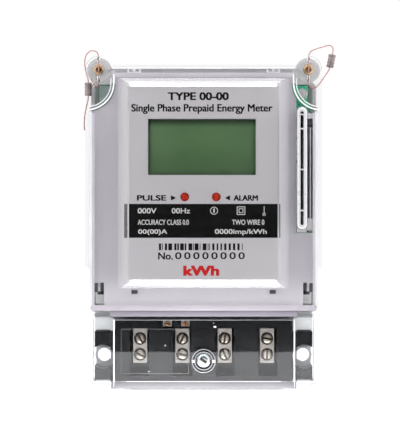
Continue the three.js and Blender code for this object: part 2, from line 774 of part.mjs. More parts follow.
function screwRetainer() {
  return cut(
    rodY(BOSS.x, BOSS.z, 3.4, BOSS.back + 0.2, -43.6),
    rodY(BOSS.x, BOSS.z, 1.9, -40, -50, 16),
  );
}

// ---- The scene graph ----------------------------------------------------------------------------
const meter = new THREE.Group();
meter.name = "prepaid_meter";

function add(name, geometry, material) {
  const mesh = new THREE.Mesh(geometry, MATERIALS[material]);
  mesh.name = name;
  meter.add(mesh);
}

add("base_shell", baseShell(), "lightGrey");
add("hanger_plate", hangerPlate(), "steel");
add("hanger_rivet", hangerRivet(), "steel");
add("cover_gasket", coverGasket(), "rubber");
add("main_cover", mainCover(), "clear");
add("card_slot_guide", cardSlotGuide(), "guide");
for (const [word, side] of [["left", -1], ["right", 1]]) {
  add(`cover_screw_${word}`, coverScrew(side), "brass");
  add(`seal_bridge_${word}`, sealBridge(side), "wire");
  add(`board_screw_${word}`, boardScrew(side), "steel");
}
add("seal_wire_left", tube(LEFT_WIRE, SEAL_WIRE.radius, 30), "wire");
add("seal_wire_right", tube(RIGHT_WIRE, SEAL_WIRE.radius, 34), "wire");
add("seal_strand_left", tube(LEFT_STRAND, SEAL_WIRE.radius, 8), "wire");
add("seal_left", seal({ x: -58.8, y: -31.5, z: 70.5, lean: 0 }), "lead");
add("seal_right", seal({ x: 65, y: -31.5, z: 84.9, lean: 0.2 }), "lead");
add("front_panel", frontPanel(), "silver");
add("nameplate", nameplate(), "label");
add("display_module", displayModule(), "display");
add("display_holder", displayHolder(), "whitePlastic");
for (const each of LAMPS) add(each.name, lamp(each), "redLens");
add("card_socket", cardSocket(), "black");
add("card_contact_board", cardContactBoard(), "board");
add("card_bracket_top", cardBracket(54.9, 57.5), "whitePlastic");
add("card_bracket_bottom", cardBracket(-1.3, 4.7), "whitePlastic");
add("card_switch", cardSwitch(), "black");
add("card_cable", cardCable(), "whitePlastic");
add("main_board", mainBoard(), "board");
add("relay", relay(), "black");
add("current_shunt", currentShunt(), "copper");
add("neutral_link", neutralLink(), "copper");
add("transformer", transformer(), "black");
add("capacitor", rodY(-30, -20, 5, BOARD.front - GAP, -40, 24), "black");
add("battery", rodZ(-44, -30.2, 7.2, -2, 22, 24), "blue");
add("buzzer", rodY(-14, -20, 6, BOARD.front - GAP, -31, 24), "black");
add("controller_chip", box(-20, -6, BOARD.front - 0.2, -23.8, -8, 6), "black");
add("metering_chip", box(2, 9, BOARD.front - 0.2, -23.8, -4, 6), "black");
add("terminal_block", terminalBlock(), "black");
add("cover_insert", coverInsert(), "brass");
["live_in", "live_out", "neutral_in", "neutral_out"].forEach((word, index) => {
  add(`terminal_${word}`, terminal(index), "brass");
  add(`screw_${word}_upper`, terminalScrew(index, 0), "brass");
  add(`screw_${word}_lower`, terminalScrew(index, 1), "brass");
});
for (const index of [0, 1]) {
  add(`pulse_terminal_${index + 1}`, pulseTerminal(index), "brass");
  add(`pulse_screw_${index + 1}`, pulseScrew(index), "copper");
}
add("terminal_cover", terminalCover(), "clear");
add("terminal_cover_screw", terminalCoverScrew(), "zinc");
add("screw_retainer", screwRetainer(), "whitePlastic");

export default meter;
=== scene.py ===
"""Looks of the prepaid electricity meter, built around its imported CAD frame. Metres, +Z up, front at -Y."""
import math
import random

import bmesh
import bpy
from mathutils import Matrix, Vector


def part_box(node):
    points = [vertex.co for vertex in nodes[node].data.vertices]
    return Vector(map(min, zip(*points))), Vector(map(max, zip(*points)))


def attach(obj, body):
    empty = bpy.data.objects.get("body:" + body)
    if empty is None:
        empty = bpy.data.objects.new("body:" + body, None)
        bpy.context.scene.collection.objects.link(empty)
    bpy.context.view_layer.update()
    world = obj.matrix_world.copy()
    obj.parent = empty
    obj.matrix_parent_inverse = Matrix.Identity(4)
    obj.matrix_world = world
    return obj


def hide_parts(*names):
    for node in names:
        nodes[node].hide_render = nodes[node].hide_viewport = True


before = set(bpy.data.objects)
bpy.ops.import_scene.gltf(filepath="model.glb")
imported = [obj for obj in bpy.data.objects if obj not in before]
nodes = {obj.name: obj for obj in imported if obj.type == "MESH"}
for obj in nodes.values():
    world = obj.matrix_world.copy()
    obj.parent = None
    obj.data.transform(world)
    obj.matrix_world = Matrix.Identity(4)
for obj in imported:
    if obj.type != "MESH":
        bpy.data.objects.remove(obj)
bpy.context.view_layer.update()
scene = bpy.context.scene
MM = 0.001


def mm(*values):
    """A vector given in millimetres."""
    return Vector(values) * MM


def extents(node):
    """A CAD node's box in millimetres: x0, y0, z0, x1, y1, z1."""
    low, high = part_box(node)
    return [v / MM for v in (*low, *high)]


# ---- Camera ---------------------------------------------------------------------------------
CAMERA_PLACE = mm(-1.83, -1060, 7.93)  # a metre in front of the cover, a little above the middle
LENS = 171.3
SENSOR = 36


def make_camera():
    data = bpy.data.cameras.new("camera")
    data.lens = LENS
    data.sensor_width = SENSOR
    data.clip_start = 0.01
    camera = bpy.data.objects.new("camera", data)
    camera.location = CAMERA_PLACE
    camera.rotation_euler = (math.pi / 2, 0, 0)
    scene.collection.objects.link(camera)
    scene.camera = camera


make_camera()


# ---- Node helpers ---------------------------------------------------------------------------
def new_material(name):
    """A material with its Principled shader, and short ways to add and link nodes."""
    material = bpy.data.materials.new(name)
    material.use_nodes = True
    tree = material.node_tree
    return material, tree, tree.nodes["Principled BSDF"]


def add_node(tree, kind, **settings):
    node = tree.nodes.new(kind)
    for key, value in settings.items():
        if key in node.inputs:
            node.inputs[key].default_value = value
        else:
            setattr(node, key, value)
    return node


def noise(tree, scale, detail=4.0, roughness=0.55, stretch=None):
    """A noise texture in object space, in features per metre, with an optional stretch along each axis."""
    coordinates = add_node(tree, "ShaderNodeTexCoord")
    source = coordinates.outputs["Object"]
    if stretch:
        mapping = add_node(tree, "ShaderNodeMapping")
        mapping.inputs["Scale"].default_value = stretch
        tree.links.new(source, mapping.inputs["Vector"])
        source = mapping.outputs["Vector"]
    texture = add_node(tree, "ShaderNodeTexNoise", Scale=scale, Detail=detail, Roughness=roughness)
    tree.links.new(source, texture.inputs["Vector"])
    return texture.outputs["Fac"]


def ramp(tree, source, stops):
    """Colours along a value: stops are (place, colour)."""
    node = add_node(tree, "ShaderNodeValToRGB")
    elements = node.color_ramp.elements
    for index, (place, color) in enumerate(stops):
        element = elements[index] if index < 2 else elements.new(place)
        element.position = place
        element.color = (*color, 1)
    tree.links.new(source, node.inputs["Fac"])
    return node.outputs["Color"]


def span(tree, source, low, high):
    """A value of 0 to 1 spread out to run from low to high."""
    node = add_node(tree, "ShaderNodeMapRange")
    node.inputs["To Min"].default_value = low
    node.inputs["To Max"].default_value = high
    tree.links.new(source, node.inputs["Value"])
    return node.outputs["Result"]


def bump(tree, shader, source, distance, strength=1.0):
    node = add_node(tree, "ShaderNodeBump", Strength=strength, Distance=distance)
    tree.links.new(source, node.inputs["Height"])
    tree.links.new(node.outputs["Normal"], shader.inputs["Normal"])


def axes(tree, space):
    """The X, Y and Z outputs of a texture space."""
    coordinates = add_node(tree, "ShaderNodeTexCoord")
    split = add_node(tree, "ShaderNodeSeparateXYZ")
    tree.links.new(coordinates.outputs[space], split.inputs["Vector"])
    return split.outputs


def smooth_step(tree, source, start, end, low, high):
    """A value that goes smoothly from low to high while the source goes from start to end."""
    node = add_node(tree, "ShaderNodeMapRange", interpolation_type="SMOOTHSTEP")
    for name, value in (("From Min", start), ("From Max", end), ("To Min", low), ("To Max", high)):
        node.inputs[name].default_value = value
    tree.links.new(source, node.inputs["Value"])
    return node.outputs["Result"]


def fade(tree, axis, full_at, clear_at, strength):
    """A factor that falls from strength to 0 along an object axis, between two places in millimetres."""
    return smooth_step(tree, axes(tree, "Object")[axis], full_at * MM, clear_at * MM, strength, 0.0)


def blended(tree, color, tint, factor):
    """One colour output going over to a fixed tint by a factor."""
    blend = add_node(tree, "ShaderNodeMix", data_type="RGBA", blend_type="MIX")
    tree.links.new(factor, blend.inputs["Factor"])
    tree.links.new(color, blend.inputs["A"])
    blend.inputs["B"].default_value = (*tint, 1)
    return blend.outputs["Result"]


def set_glow(shader, strength):
    """White light given off by the surface."""
    shader.inputs["Emission Color"].default_value = (1, 1, 1, 1)
    shader.inputs["Emission Strength"].default_value = strength


def shade(color, factor):
    return tuple(min(1, c * factor) for c in color)


# ---- Materials ------------------------------------------------------------------------------
def moulded(
    name, color, roughness, grain=3500, depth=0.00002, coat=0.0, variation=0.06, glow=0.0, painted_shade_at_wall=None
):
    """Moulded plastic: a fine spark-eroded grain, with slow changes of tone and gloss. Glow is painted light
    that makes white walls look over-exposed, and a painted shade darkens the last millimetre before the wall."""
    material, tree, shader = new_material(name)
    slow = noise(tree, 45, 3)
    tone = ramp(tree, slow, [(0.3, shade(color, 1 - variation)), (0.7, shade(color, 1 + variation))])
    # painted shade: the plastic darkens towards the wall at its back
    if painted_shade_at_wall:
        tone = blended(tree, tone, painted_shade_at_wall, fade(tree, "Y", -0.2, -1.4, 0.9))
    tree.links.new(tone, shader.inputs["Base Color"])
    gloss = span(tree, noise(tree, 160), roughness * 0.85, roughness * 1.15)
    tree.links.new(gloss, shader.inputs["Roughness"])
    bump(tree, shader, noise(tree, grain, 2), depth, 0.5)
    shader.inputs["Coat Weight"].default_value = coat
    set_glow(shader, glow)
    return material


def clear_plastic(name, tint, roughness=0.015, ripple=0.00001):
    """Clear moulded polycarbonate, with the slight flow ripples of a moulding."""
    material, tree, shader = new_material(name)
    shader.inputs["Base Color"].default_value = (*tint, 1)
    shader.inputs["Transmission Weight"].default_value = 1.0
    shader.inputs["IOR"].default_value = 1.5
    tree.links.new(span(tree, noise(tree, 120), roughness * 0.5, roughness * 1.5), shader.inputs["Roughness"])
    bump(tree, shader, noise(tree, 55, 2), ripple, 0.35)
    return material


def frosted_plastic(name):
    """Milky, slightly translucent moulding of the card slot."""
    material, tree, shader = new_material(name)
    shader.inputs["Transmission Weight"].default_value = 0.35
    shader.inputs["IOR"].default_value = 1.5
    slow = noise(tree, 90, 3)
    milk = ramp(tree, slow, [(0.3, (0.64, 0.64, 0.66)), (0.7, (0.72, 0.72, 0.74))])
    tree.links.new(milk, shader.inputs["Base Color"])
    tree.links.new(span(tree, noise(tree, 300), 0.22, 0.36), shader.inputs["Roughness"])
    bump(tree, shader, noise(tree, 900, 2), 0.00002, 0.4)
    return material


def metal(name, color, roughness, brush=(1, 1, 1), scale=900, depth=0.00001, tarnish=0.82):
    """Plated or bare metal, with a brushed or tumbled finish and a little tarnish."""
    material, tree, shader = new_material(name)
    shader.inputs["Metallic"].default_value = 1.0
    tone = ramp(tree, noise(tree, 260, 5), [(0.32, shade(color, tarnish)), (0.62, color)])
    tree.links.new(tone, shader.inputs["Base Color"])
    gloss = span(tree, noise(tree, scale, 3, 0.6, brush), roughness * 0.7, roughness * 1.3)
    tree.links.new(gloss, shader.inputs["Roughness"])
    bump(tree, shader, noise(tree, scale, 3, 0.6, brush), depth, 0.6)
    return material


def silver_paint(name, color, painted_light_low_tint=None):
    """Silver paint: fine flake under a satin lacquer, going over to a tint lower down if one is given, which
    is painted light.
    """
    material, tree, shader = new_material(name)
    flake = noise(tree, 9000, 2)
    painted = ramp(tree, flake, [(0.35, shade(color, 0.93)), (0.65, shade(color, 1.07))])
    if painted_light_low_tint:
        painted = blended(tree, painted, painted_light_low_tint, fade(tree, "Z", -40, -20, 1.0))
    tree.links.new(painted, shader.inputs["Base Color"])
    shader.inputs["Metallic"].default_value = 0.25
    tree.links.new(span(tree, noise(tree, 140), 0.36, 0.48), shader.inputs["Roughness"])
    bump(tree, shader, flake, 0.000006, 0.5)
    return material


def circuit_green(name):
    """Green solder mask over copper tracks: tracks are a shade lighter and stand slightly proud."""
    material, tree, shader = new_material(name)
    coordinates = add_node(tree, "ShaderNodeTexCoord")
    turn = add_node(tree, "ShaderNodeMapping")
    turn.inputs["Rotation"].default_value = (math.pi / 2, 0, 0)
    tree.links.new(coordinates.outputs["Object"], turn.inputs["Vector"])
    tracks = add_node(tree, "ShaderNodeTexBrick", Scale=95.0)
    tracks.inputs["Mortar Size"].default_value = 0.035
    tracks.inputs["Color1"].default_value = (0.016, 0.20, 0.085, 1)
    tracks.inputs["Color2"].default_value = (0.020, 0.24, 0.10, 1)
    tracks.inputs["Mortar"].default_value = (0.05, 0.36, 0.17, 1)
    tree.links.new(turn.outputs["Vector"], tracks.inputs["Vector"])
    tree.links.new(tracks.outputs["Color"], shader.inputs["Base Color"])
    tree.links.new(span(tree, noise(tree, 400), 0.22, 0.4), shader.inputs["Roughness"])
    bump(tree, shader, tracks.outputs["Fac"], 0.00003, 0.6)
    return material


# painted shade: the window edge's shadow at the top and left, and a darkening towards the bottom; axis, where
# the dark is full, where it has gone (millimetres), how strong it is
DISPLAY_PAINTED_SHADE = (("Z", 54, 50, 0.86), ("X", -28.2, -25.6, 0.6), ("Z", 26, 48, 0.3))


def display_green(name):
    """Liquid-crystal display with a green backlight, with painted shade: the window edge's shadow at its top
    and left, and darker towards its bottom.
    """
    material, tree, shader = new_material(name)
    color = ramp(tree, noise(tree, 60, 3), [(0.3, (0.098, 0.192, 0.083)), (0.7, (0.116, 0.218, 0.097))])
    for axis, dark_at, clear_at, strength in DISPLAY_PAINTED_SHADE:
        color = blended(tree, color, (0.016, 0.034, 0.016), fade(tree, axis, dark_at, clear_at, strength))
    tree.links.new(color, shader.inputs["Base Color"])
    tree.links.new(span(tree, noise(tree, 2500, 2), 0.2, 0.3), shader.inputs["Roughness"])
    shader.inputs["Specular IOR Level"].default_value = 0.2
    bump(tree, shader, noise(tree, 2600, 2), 0.000003, 0.3)
    return material


def red_lens(name):
    """Diffused red epoxy."""
    material, tree, shader = new_material(name)
    red = ramp(tree, noise(tree, 500), [(0.3, (0.50, 0.018, 0.004)), (0.7, (0.60, 0.028, 0.007))])
    tree.links.new(red, shader.inputs["Base Color"])
    shader.inputs["Subsurface Weight"].default_value = 0.25
    shader.inputs["Subsurface Radius"].default_value = (0.002, 0.0004, 0.0002)
    tree.links.new(span(tree, noise(tree, 700), 0.1, 0.2), shader.inputs["Roughness"])
    shader.inputs["Specular IOR Level"].default_value = 0.15
    return material


def ink(name, color, roughness=0.4):
    """Screen-printed ink, a little uneven in cover and gloss."""
    material, tree, shader = new_material(name)
    cover = ramp(tree, noise(tree, 1200, 3), [(0.25, shade(color, 0.85)), (0.75, shade(color, 1.1))])
    tree.links.new(cover, shader.inputs["Base Color"])
    tree.links.new(span(tree, noise(tree, 900), roughness * 0.8, roughness * 1.2), shader.inputs["Roughness"])
    shader.inputs["Specular IOR Level"].default_value = 0.15
    bump(tree, shader, noise(tree, 4000, 2), 0.000004, 0.4)
    return material


MATERIALS = {
    "clear": clear_plastic("clear_polycarbonate", (0.985, 0.985, 0.99)),
    "lid": clear_plastic("clear_lid_polycarbonate", (0.915, 0.93, 0.945)),
    "frost": frosted_plastic("milky_plastic"),
    # the light grey base: a little painted light by its glow, and painted shade at its back edge
    "grey": moulded(
        "light_grey_plastic", (0.78, 0.785, 0.795), 0.5,
        variation=0.08, glow=0.06, painted_shade_at_wall=(0.46, 0.465, 0.475),
    ),
    # the panel's lower part is painted lighter: painted light
    "panel": silver_paint("silver_paint", (0.60, 0.58, 0.625), (0.86, 0.83, 0.88)),
    "sheet": silver_paint("nameplate_foil", (0.63, 0.61, 0.63)),
    "block": moulded("black_block_plastic", (0.0125, 0.0125, 0.0145), 0.2, 2400, 0.000012, 0.3, 0.15),
    "black": moulded("black_plastic", (0.02, 0.02, 0.022), 0.45),
    "dark": moulded("dark_grey_plastic", (0.07, 0.065, 0.075), 0.4),
    "white": moulded("white_plastic", (0.82, 0.82, 0.82), 0.42),
    "rubber": moulded("white_silicone", (0.76, 0.76, 0.78), 0.65, 1500, 0.00004),
    # pale plates that glow as painted light on the base's shoulders
    "shoulder": moulded("shoulder_painted_light", (0.93, 0.935, 0.95), 0.5, variation=0.03, glow=0.42),
    "plug": moulded("grey_plug", (0.10, 0.095, 0.11), 0.4, 1800, 0.00001),
    # lit copies of the board's colours seen through the corner notches: painted light
    "grey_green_light": moulded("grey_green_painted_light", (0.40, 0.50, 0.48), 0.4, 1800, 0.00001),
    "mask": moulded("solder_mask_painted_light", (0.06, 0.62, 0.36), 0.3, 1800, 0.00001),
    "blue": moulded("blue_sleeve", (0.02, 0.09, 0.32), 0.3, 600, 0.00003, 0.4),
    "nickel": metal("nickelled_brass", (0.80, 0.73, 0.67), 0.34, (1, 1, 6), 700),
    "screw": metal("plated_screw_steel", (0.80, 0.71, 0.60), 0.34, (3, 1, 3), 1200),
    # a dark metal for screw recesses and the rings round the terminal screws: painted shade
    "recess": metal("recess_painted_shade", (0.16, 0.12, 0.10), 0.5, (1, 1, 1), 900),
    "brass": metal("brass_screw", (0.60, 0.42, 0.24), 0.26, (2, 1, 2), 1200, tarnish=0.55),
    "zinc": metal("bright_zinc", (0.82, 0.88, 0.90), 0.16, (2, 1, 2), 900),
    "steel": metal("pressed_steel", (0.56, 0.57, 0.58), 0.34, (1, 1, 8), 500),
    "copper": metal("bare_copper", (0.80, 0.40, 0.24), 0.28, (2, 1, 2), 900),
    "lead": metal("seal_metal", (0.30, 0.25, 0.25), 0.5, (1, 1, 3), 800, 0.00004, 0.6),
    "wire": metal("seal_wire_metal", (0.50, 0.27, 0.24), 0.42, (1, 1, 1), 1500, 0.00002, 0.7),
    "board": circuit_green("circuit_board"),
    "display": display_green("display"),
    "red": red_lens("red_epoxy"),
    "ink_black": ink("black_ink", (0.004, 0.0045, 0.0042)),
    "ink_white": ink("white_ink", (0.72, 0.72, 0.72)),
    "ink_red": ink("red_ink", (0.62, 0.02, 0.018)),
}
EDGE_PLASTICS = (  # key, name, colour, roughness of the thin strips on the covers' and the base's edges, most of which are painted highlights and painted shade
    ("bead", "whitened_edge", (0.93, 0.93, 0.95), 0.35),
    ("lavender", "pale_edge", (0.62, 0.58, 0.66), 0.35),
    ("pale", "pale_cover_edge", (0.70, 0.665, 0.72), 0.35),
    ("lip", "shaded_lip", (0.25, 0.23, 0.275), 0.35),
    ("foot", "shaded_foot", (0.115, 0.112, 0.122), 0.4),
    ("collar", "scuffed_edge", (0.34, 0.34, 0.36), 0.3),
    ("band", "shaded_rim", (0.58, 0.60, 0.63), 0.4),
    ("faint", "moulded_line", (0.16, 0.16, 0.17), 0.4),
)
for key, *look in EDGE_PLASTICS:
    MATERIALS[key] = moulded(*look, grain=2000, depth=0.00001)


# ---- Pieces ---------------------------------------------------------------------------------
def add_piece(name, mesh, material, body, replaced=()):
    """Puts a mesh into the scene as a piece that rides on a CAD body."""
    piece = bpy.data.objects.new(name, mesh)
    scene.collection.objects.link(piece)
    if not piece.material_slots:
        mesh.materials.append(MATERIALS[material])
    piece.material_slots[0].material = MATERIALS[material]
    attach(piece, body)
    if replaced:
        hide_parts(*replaced)
    return piece


def mesh_from(bm, name, smooth_angle=40):
    """A mesh from a bmesh, smooth except at edges sharper than the angle."""
    bmesh.ops.recalc_face_normals(bm, faces=bm.faces)
    limit = math.radians(smooth_angle)
    for face in bm.faces:
        face.smooth = True
    for edge in bm.edges:
        edge.smooth = len(edge.link_faces) == 2 and edge.calc_face_angle(0) < limit
    mesh = bpy.data.meshes.new(name)
    bm.to_mesh(mesh)
    bm.free()
    return mesh


def finish_piece(bm, name, material, body, slot, replaced=(), smooth_angle=40):
    return add_piece(name, mesh_from(bm, name, smooth_angle), material, body, replaced)


def full_turn(steps):
    return [2 * math.pi * i / steps for i in range(steps)]


def skin(bm, first, second):
    """A band of faces between two rings that have as many vertices each."""
    for i in range(len(first)):
        j = (i + 1) % len(first)
        bm.faces.new([first[i], first[j], second[j], second[i]])


def block_into(bm, x0, x1, y0, y1, z0, z1, round_by=0.0, segments=2):
    """Adds a box with rounded edges, in millimetres."""
    made = bmesh.ops.create_cube(bm, size=1)["verts"]
    size = (abs(x1 - x0), abs(y1 - y0), abs(z1 - z0))
    middle = mm((x0 + x1) / 2, (y0 + y1) / 2, (z0 + z1) / 2)
    for vert in made:
        vert.co = Vector(a * b for a, b in zip(vert.co, size)) * MM + middle
    if round_by:
        edges = list({edge for vert in made for edge in vert.link_edges})
        shape = {"segments": segments, "profile": 0.5, "affect": "EDGES", "clamp_overlap": True}
        bmesh.ops.bevel(bm, geom=edges, offset=round_by * MM, **shape)


def lathe_into(bm, profile, x, z, steps=40, y=0.0):
    """Adds a solid turned about a line along Y at (x, z). The profile is (radius, y) points in millimetres,
    starting and ending on the axis, and y is added to it."""
    rings = []
    for radius, along in profile:
        if radius < 1e-6:
            rings.append([bm.verts.new(mm(x, along + y, z))])
            continue
        around = [(x + radius * math.cos(a), along + y, z + radius * math.sin(a)) for a in full_turn(steps)]
        rings.append([bm.verts.new(mm(*place)) for place in around])
    for first, second in zip(rings, rings[1:]):
        for i in range(steps):
            j = (i + 1) % steps
            near = [first[i % len(first)], first[j % len(first)]]
            far = [second[j % len(second)], second[i % len(second)]]
            bm.faces.new(list(dict.fromkeys(near + far)))


def blocks(name, boxes, material, body, slot, round_by=0.15, replaced=()):
    """One piece made of rounded boxes, each (x0, x1, y0, y1, z0, z1) in millimetres."""
    bm = bmesh.new()
    for extent in boxes:
        block_into(bm, *extent, round_by=round_by)
    return finish_piece(bm, name, material, body, slot, replaced)


def refine(node, material, width, segments=2, angle=32):
    """Finishes a CAD node whose shape is right: flat faces are merged, edges get a moulded radius."""
    piece = nodes[node]
    if not piece.material_slots:
        piece.data.materials.append(MATERIALS[material])
    piece.material_slots[0].material = MATERIALS[material]
    for polygon in piece.data.polygons:
        polygon.use_smooth = True
    merge = piece.modifiers.new("merge_flats", "DECIMATE")
    merge.decimate_type = "DISSOLVE"
    merge.angle_limit = math.radians(0.4)
    radius = piece.modifiers.new("edge_radius", "BEVEL")
    radius.width = width * MM
    radius.segments = segments
    radius.limit_method = "ANGLE"
    radius.angle_limit = math.radians(angle)
    radius.harden_normals = True
    radius.use_clamp_overlap = True


# ---- Seal wires, made first -------------------------------------------------------------------
WIRE_RADIUS = 0.35
LEFT_WIRE = [
    (-53.6, -29.9, 87.8), (-54.6, -30.2, 89.6), (-57.4, -30.8, 90.2), (-60.0, -31.3, 87.6),
    (-60.6, -31.5, 83.4), (-59.9, -31.5, 79.0), (-58.9, -31.5, 75.6), (-58.8, -31.5, 72.6),
    (-58.8, -31.5, 68.4), (-58.9, -31.5, 65.2), (-59.8, -31.4, 61.4), (-60.6, -31.2, 57.0),
    (-60.9, -31.0, 52.4), (-60.7, -30.8, 49.6),
]
RIGHT_WIRE = [
    (53.6, -29.9, 87.8), (54.7, -30.3, 89.8), (57.6, -30.9, 91.2), (61.2, -31.3, 92.2),
    (64.2, -31.5, 92.9), (65.9, -31.5, 91.6), (65.9, -31.5, 89.4), (65.3, -31.5, 86.6),
    (64.6, -31.5, 83.2), (63.9, -31.5, 80.4), (61.6, -31.4, 76.9), (59.2, -31.1, 73.4),
    (57.2, -30.7, 71.4), (55.2, -30.2, 71.2), (53.8, -29.95, 72.5), (53.6, -29.9, 73.8),
]
LEFT_STRAND = [
    (-53.6, -29.9, 73.8), (-53.9, -30.1, 72.2), (-55.1, -30.8, 71.8), (-55.9, -31.3, 73.4),
    (-57.6, -31.5, 75.6),
]
TWISTS_PER_MM = 0.45  # turns of the two-strand twist in each millimetre
SEAL_LENGTH = 6.8
SEAL_RADIUS = 1.88
SEAL_PINCHES = (0.26, 0.5, 0.74)  # places along the seal, as parts of its length


def smooth_route(points, pieces=6):
    """Points in metres along a centripetal Catmull-Rom curve through the given points in millimetres."""
    line = [Vector(p) for p in points]
    line = [line[0] * 2 - line[1], *line, line[-1] * 2 - line[-2]]
    route = []
    for p0, p1, p2, p3 in zip(line, line[1:], line[2:], line[3:]):
        t0 = 0.0
        t1 = t0 + math.sqrt((p1 - p0).length)
        t2 = t1 + math.sqrt((p2 - p1).length)
        t3 = t2 + math.sqrt((p3 - p2).length)
        for step in range(pieces):
            t = t1 + (t2 - t1) * step / pieces
            a1 = p0 * ((t1 - t) / (t1 - t0)) + p1 * ((t - t0) / (t1 - t0))
            a2 = p1 * ((t2 - t) / (t2 - t1)) + p2 * ((t - t1) / (t2 - t1))
            a3 = p2 * ((t3 - t) / (t3 - t2)) + p3 * ((t - t2) / (t3 - t2))
            b1 = a1 * ((t2 - t) / (t2 - t0)) + a2 * ((t - t0) / (t2 - t0))
            b2 = a2 * ((t3 - t) / (t3 - t1)) + a3 * ((t - t1) / (t3 - t1))
            route.append((b1 * ((t2 - t) / (t2 - t1)) + b2 * ((t - t1) / (t2 - t1))) * MM)
    route.append(line[-2] * MM)
    return route


def twisted_wire(name, route, replaced, radius=WIRE_RADIUS, sides=12):
    """A wire of two strands twisted together: a two-lobed section that turns as it goes."""
    bm = bmesh.new()
    rings = []
    travelled = 0.0
    side = Vector((0, 1, 0))
    for index, point in enumerate(route):
        ahead = route[min(index + 1, len(route) - 1)] - route[max(index - 1, 0)]
        ahead.normalize()
        side = (side - ahead * side.dot(ahead)).normalized()
        across = ahead.cross(side)
        if index:
            travelled += (point - route[index - 1]).length
        twist = 2 * math.pi * TWISTS_PER_MM * travelled / MM
        ring = []
        for angle in full_turn(sides):
            reach = radius * MM * (0.78 + 0.22 * math.cos(2 * (angle - twist)))
            ring.append(bm.verts.new(point + (side * math.cos(angle) + across * math.sin(angle)) * reach))
        rings.append(ring)
    for first, second in zip(rings, rings[1:]):
        skin(bm, first, second)
    bm.faces.new(list(reversed(rings[0])))
    bm.faces.new(rings[-1])
    return finish_piece(bm, name, "wire", "main_cover_body", "seal_wire", replaced, 70)


def crimped_seal(name, x, y, z, lean, replaced):
    """A crimped slug: a flattened barrel, pinched in three places, with a hollow mouth at each end."""
    bm = bmesh.new()
    length = SEAL_LENGTH
    sides = 28
    levels = 30
    rings = []
    for level in range(levels + 1):
        along = level / levels
        pinch = sum(math.exp(-(((along - place) / 0.06) ** 2)) for place in SEAL_PINCHES)
        rim = 1 - 0.16 * max(0, abs(along - 0.5) * 2 - 0.86) / 0.14
        ring = []
        for angle in full_turn(sides):
            reach = SEAL_RADIUS * rim * (1 - 0.13 * pinch * (0.6 + 0.4 * math.cos(2 * angle)))
            place = (reach * math.cos(angle), 0.7 * reach * math.sin(angle), length * (along - 0.5))
            ring.append(bm.verts.new(mm(*place)))
        rings.append(ring)
    for first, second in zip(rings, rings[1:]):
        skin(bm, first, second)
    for ring, end in ((rings[0], -1), (rings[-1], 1)):
        mouth = [bm.verts.new(mm(v.co.x / MM * 0.45, v.co.y / MM * 0.6, end * length / 2)) for v in ring]
        depth = [bm.verts.new(mm(v.co.x / MM, v.co.y / MM, end * (length / 2 - 1.1))) for v in mouth]
        skin(bm, ring, mouth)
        skin(bm, mouth, depth)
        bm.faces.new(depth)
    bmesh.ops.rotate(bm, verts=bm.verts, cent=(0, 0, 0), matrix=Matrix.Rotation(lean, 3, "Y"))
    bmesh.ops.translate(bm, verts=bm.verts, vec=mm(x, y, z))
    return finish_piece(bm, name, "lead", "main_cover_body", "seal_metal", replaced, 50)


def make_seals():
    left = smooth_route(LEFT_WIRE)
    right = smooth_route(RIGHT_WIRE)
    strand = smooth_route(LEFT_STRAND)
    left_wire = twisted_wire("left_seal_wire", left, ["seal_wire_left"])
    right_wire = twisted_wire("right_seal_wire", right, ["seal_wire_right"])
    left_strand = twisted_wire("left_seal_wire_start", strand, ["seal_strand_left"])
    left_seal = crimped_seal("left_seal", -58.8, -31.5, 70.5, 0.0, ["seal_left"])
    right_seal = crimped_seal("right_seal", 65.0, -31.5, 84.9, 0.2, ["seal_right"])


make_seals()


# ---- Carried-over CAD nodes -------------------------------------------------------------------
TERMINALS = ("live_in", "live_out", "neutral_in", "neutral_out")


def finish_cad_nodes():
    """Materials and moulded radii for the nodes whose CAD shape is kept."""
    rules = [
        ("main_cover", "clear", 0.22),
        ("terminal_cover", "lid", 0.4),
        ("card_slot_guide", "frost", 0.25),
        ("base_shell", "grey", 0.45),
        ("cover_gasket", "rubber", 0.1),
        ("hanger_plate", "steel", 0.2),
        ("hanger_rivet", "steel", 0.25),
        ("front_panel", "panel", 0.22),
        ("nameplate", "sheet", 0.05),
        ("display_holder", "white", 0.3),
        ("card_socket", "white", 0.25),
        ("card_switch", "dark", 0.25),
        ("card_bracket_top", "white", 0.3),
        ("card_bracket_bottom", "white", 0.3),
        ("main_board", "board", 0.08),
        ("relay", "black", 0.5),
        ("current_shunt", "copper", 0.15),
        ("neutral_link", "copper", 0.15),
        ("transformer", "black", 0.4),
        ("capacitor", "black", 0.5),
        ("battery", "blue", 0.6),
        ("buzzer", "black", 0.5),
        ("controller_chip", "black", 0.15),
        ("metering_chip", "black", 0.15),
        ("terminal_block", "block", 0.35),
        ("cover_insert", "brass", 0.2),
        ("screw_retainer", "white", 0.15),
        ("board_screw_left", "steel", 0.1),
        ("board_screw_right", "steel", 0.1),
        ("seal_bridge_left", "wire", 0.04),
        ("seal_bridge_right", "wire", 0.04),
        ("pulse_terminal_1", "nickel", 0.15),
        ("pulse_terminal_2", "nickel", 0.15),
    ]
    for node, material, width in rules:
        refine(node, material, width)
    for word in TERMINALS:
        refine(f"terminal_{word}", "nickel", 0.2)


finish_cad_nodes()


# ---- Screws -----------------------------------------------------------------------------------
SCREW_SHADE_RING = (2.72, 3.2, -31.0, -30.82)  # painted shade round each terminal screw: inner radius, outer radius, front, back


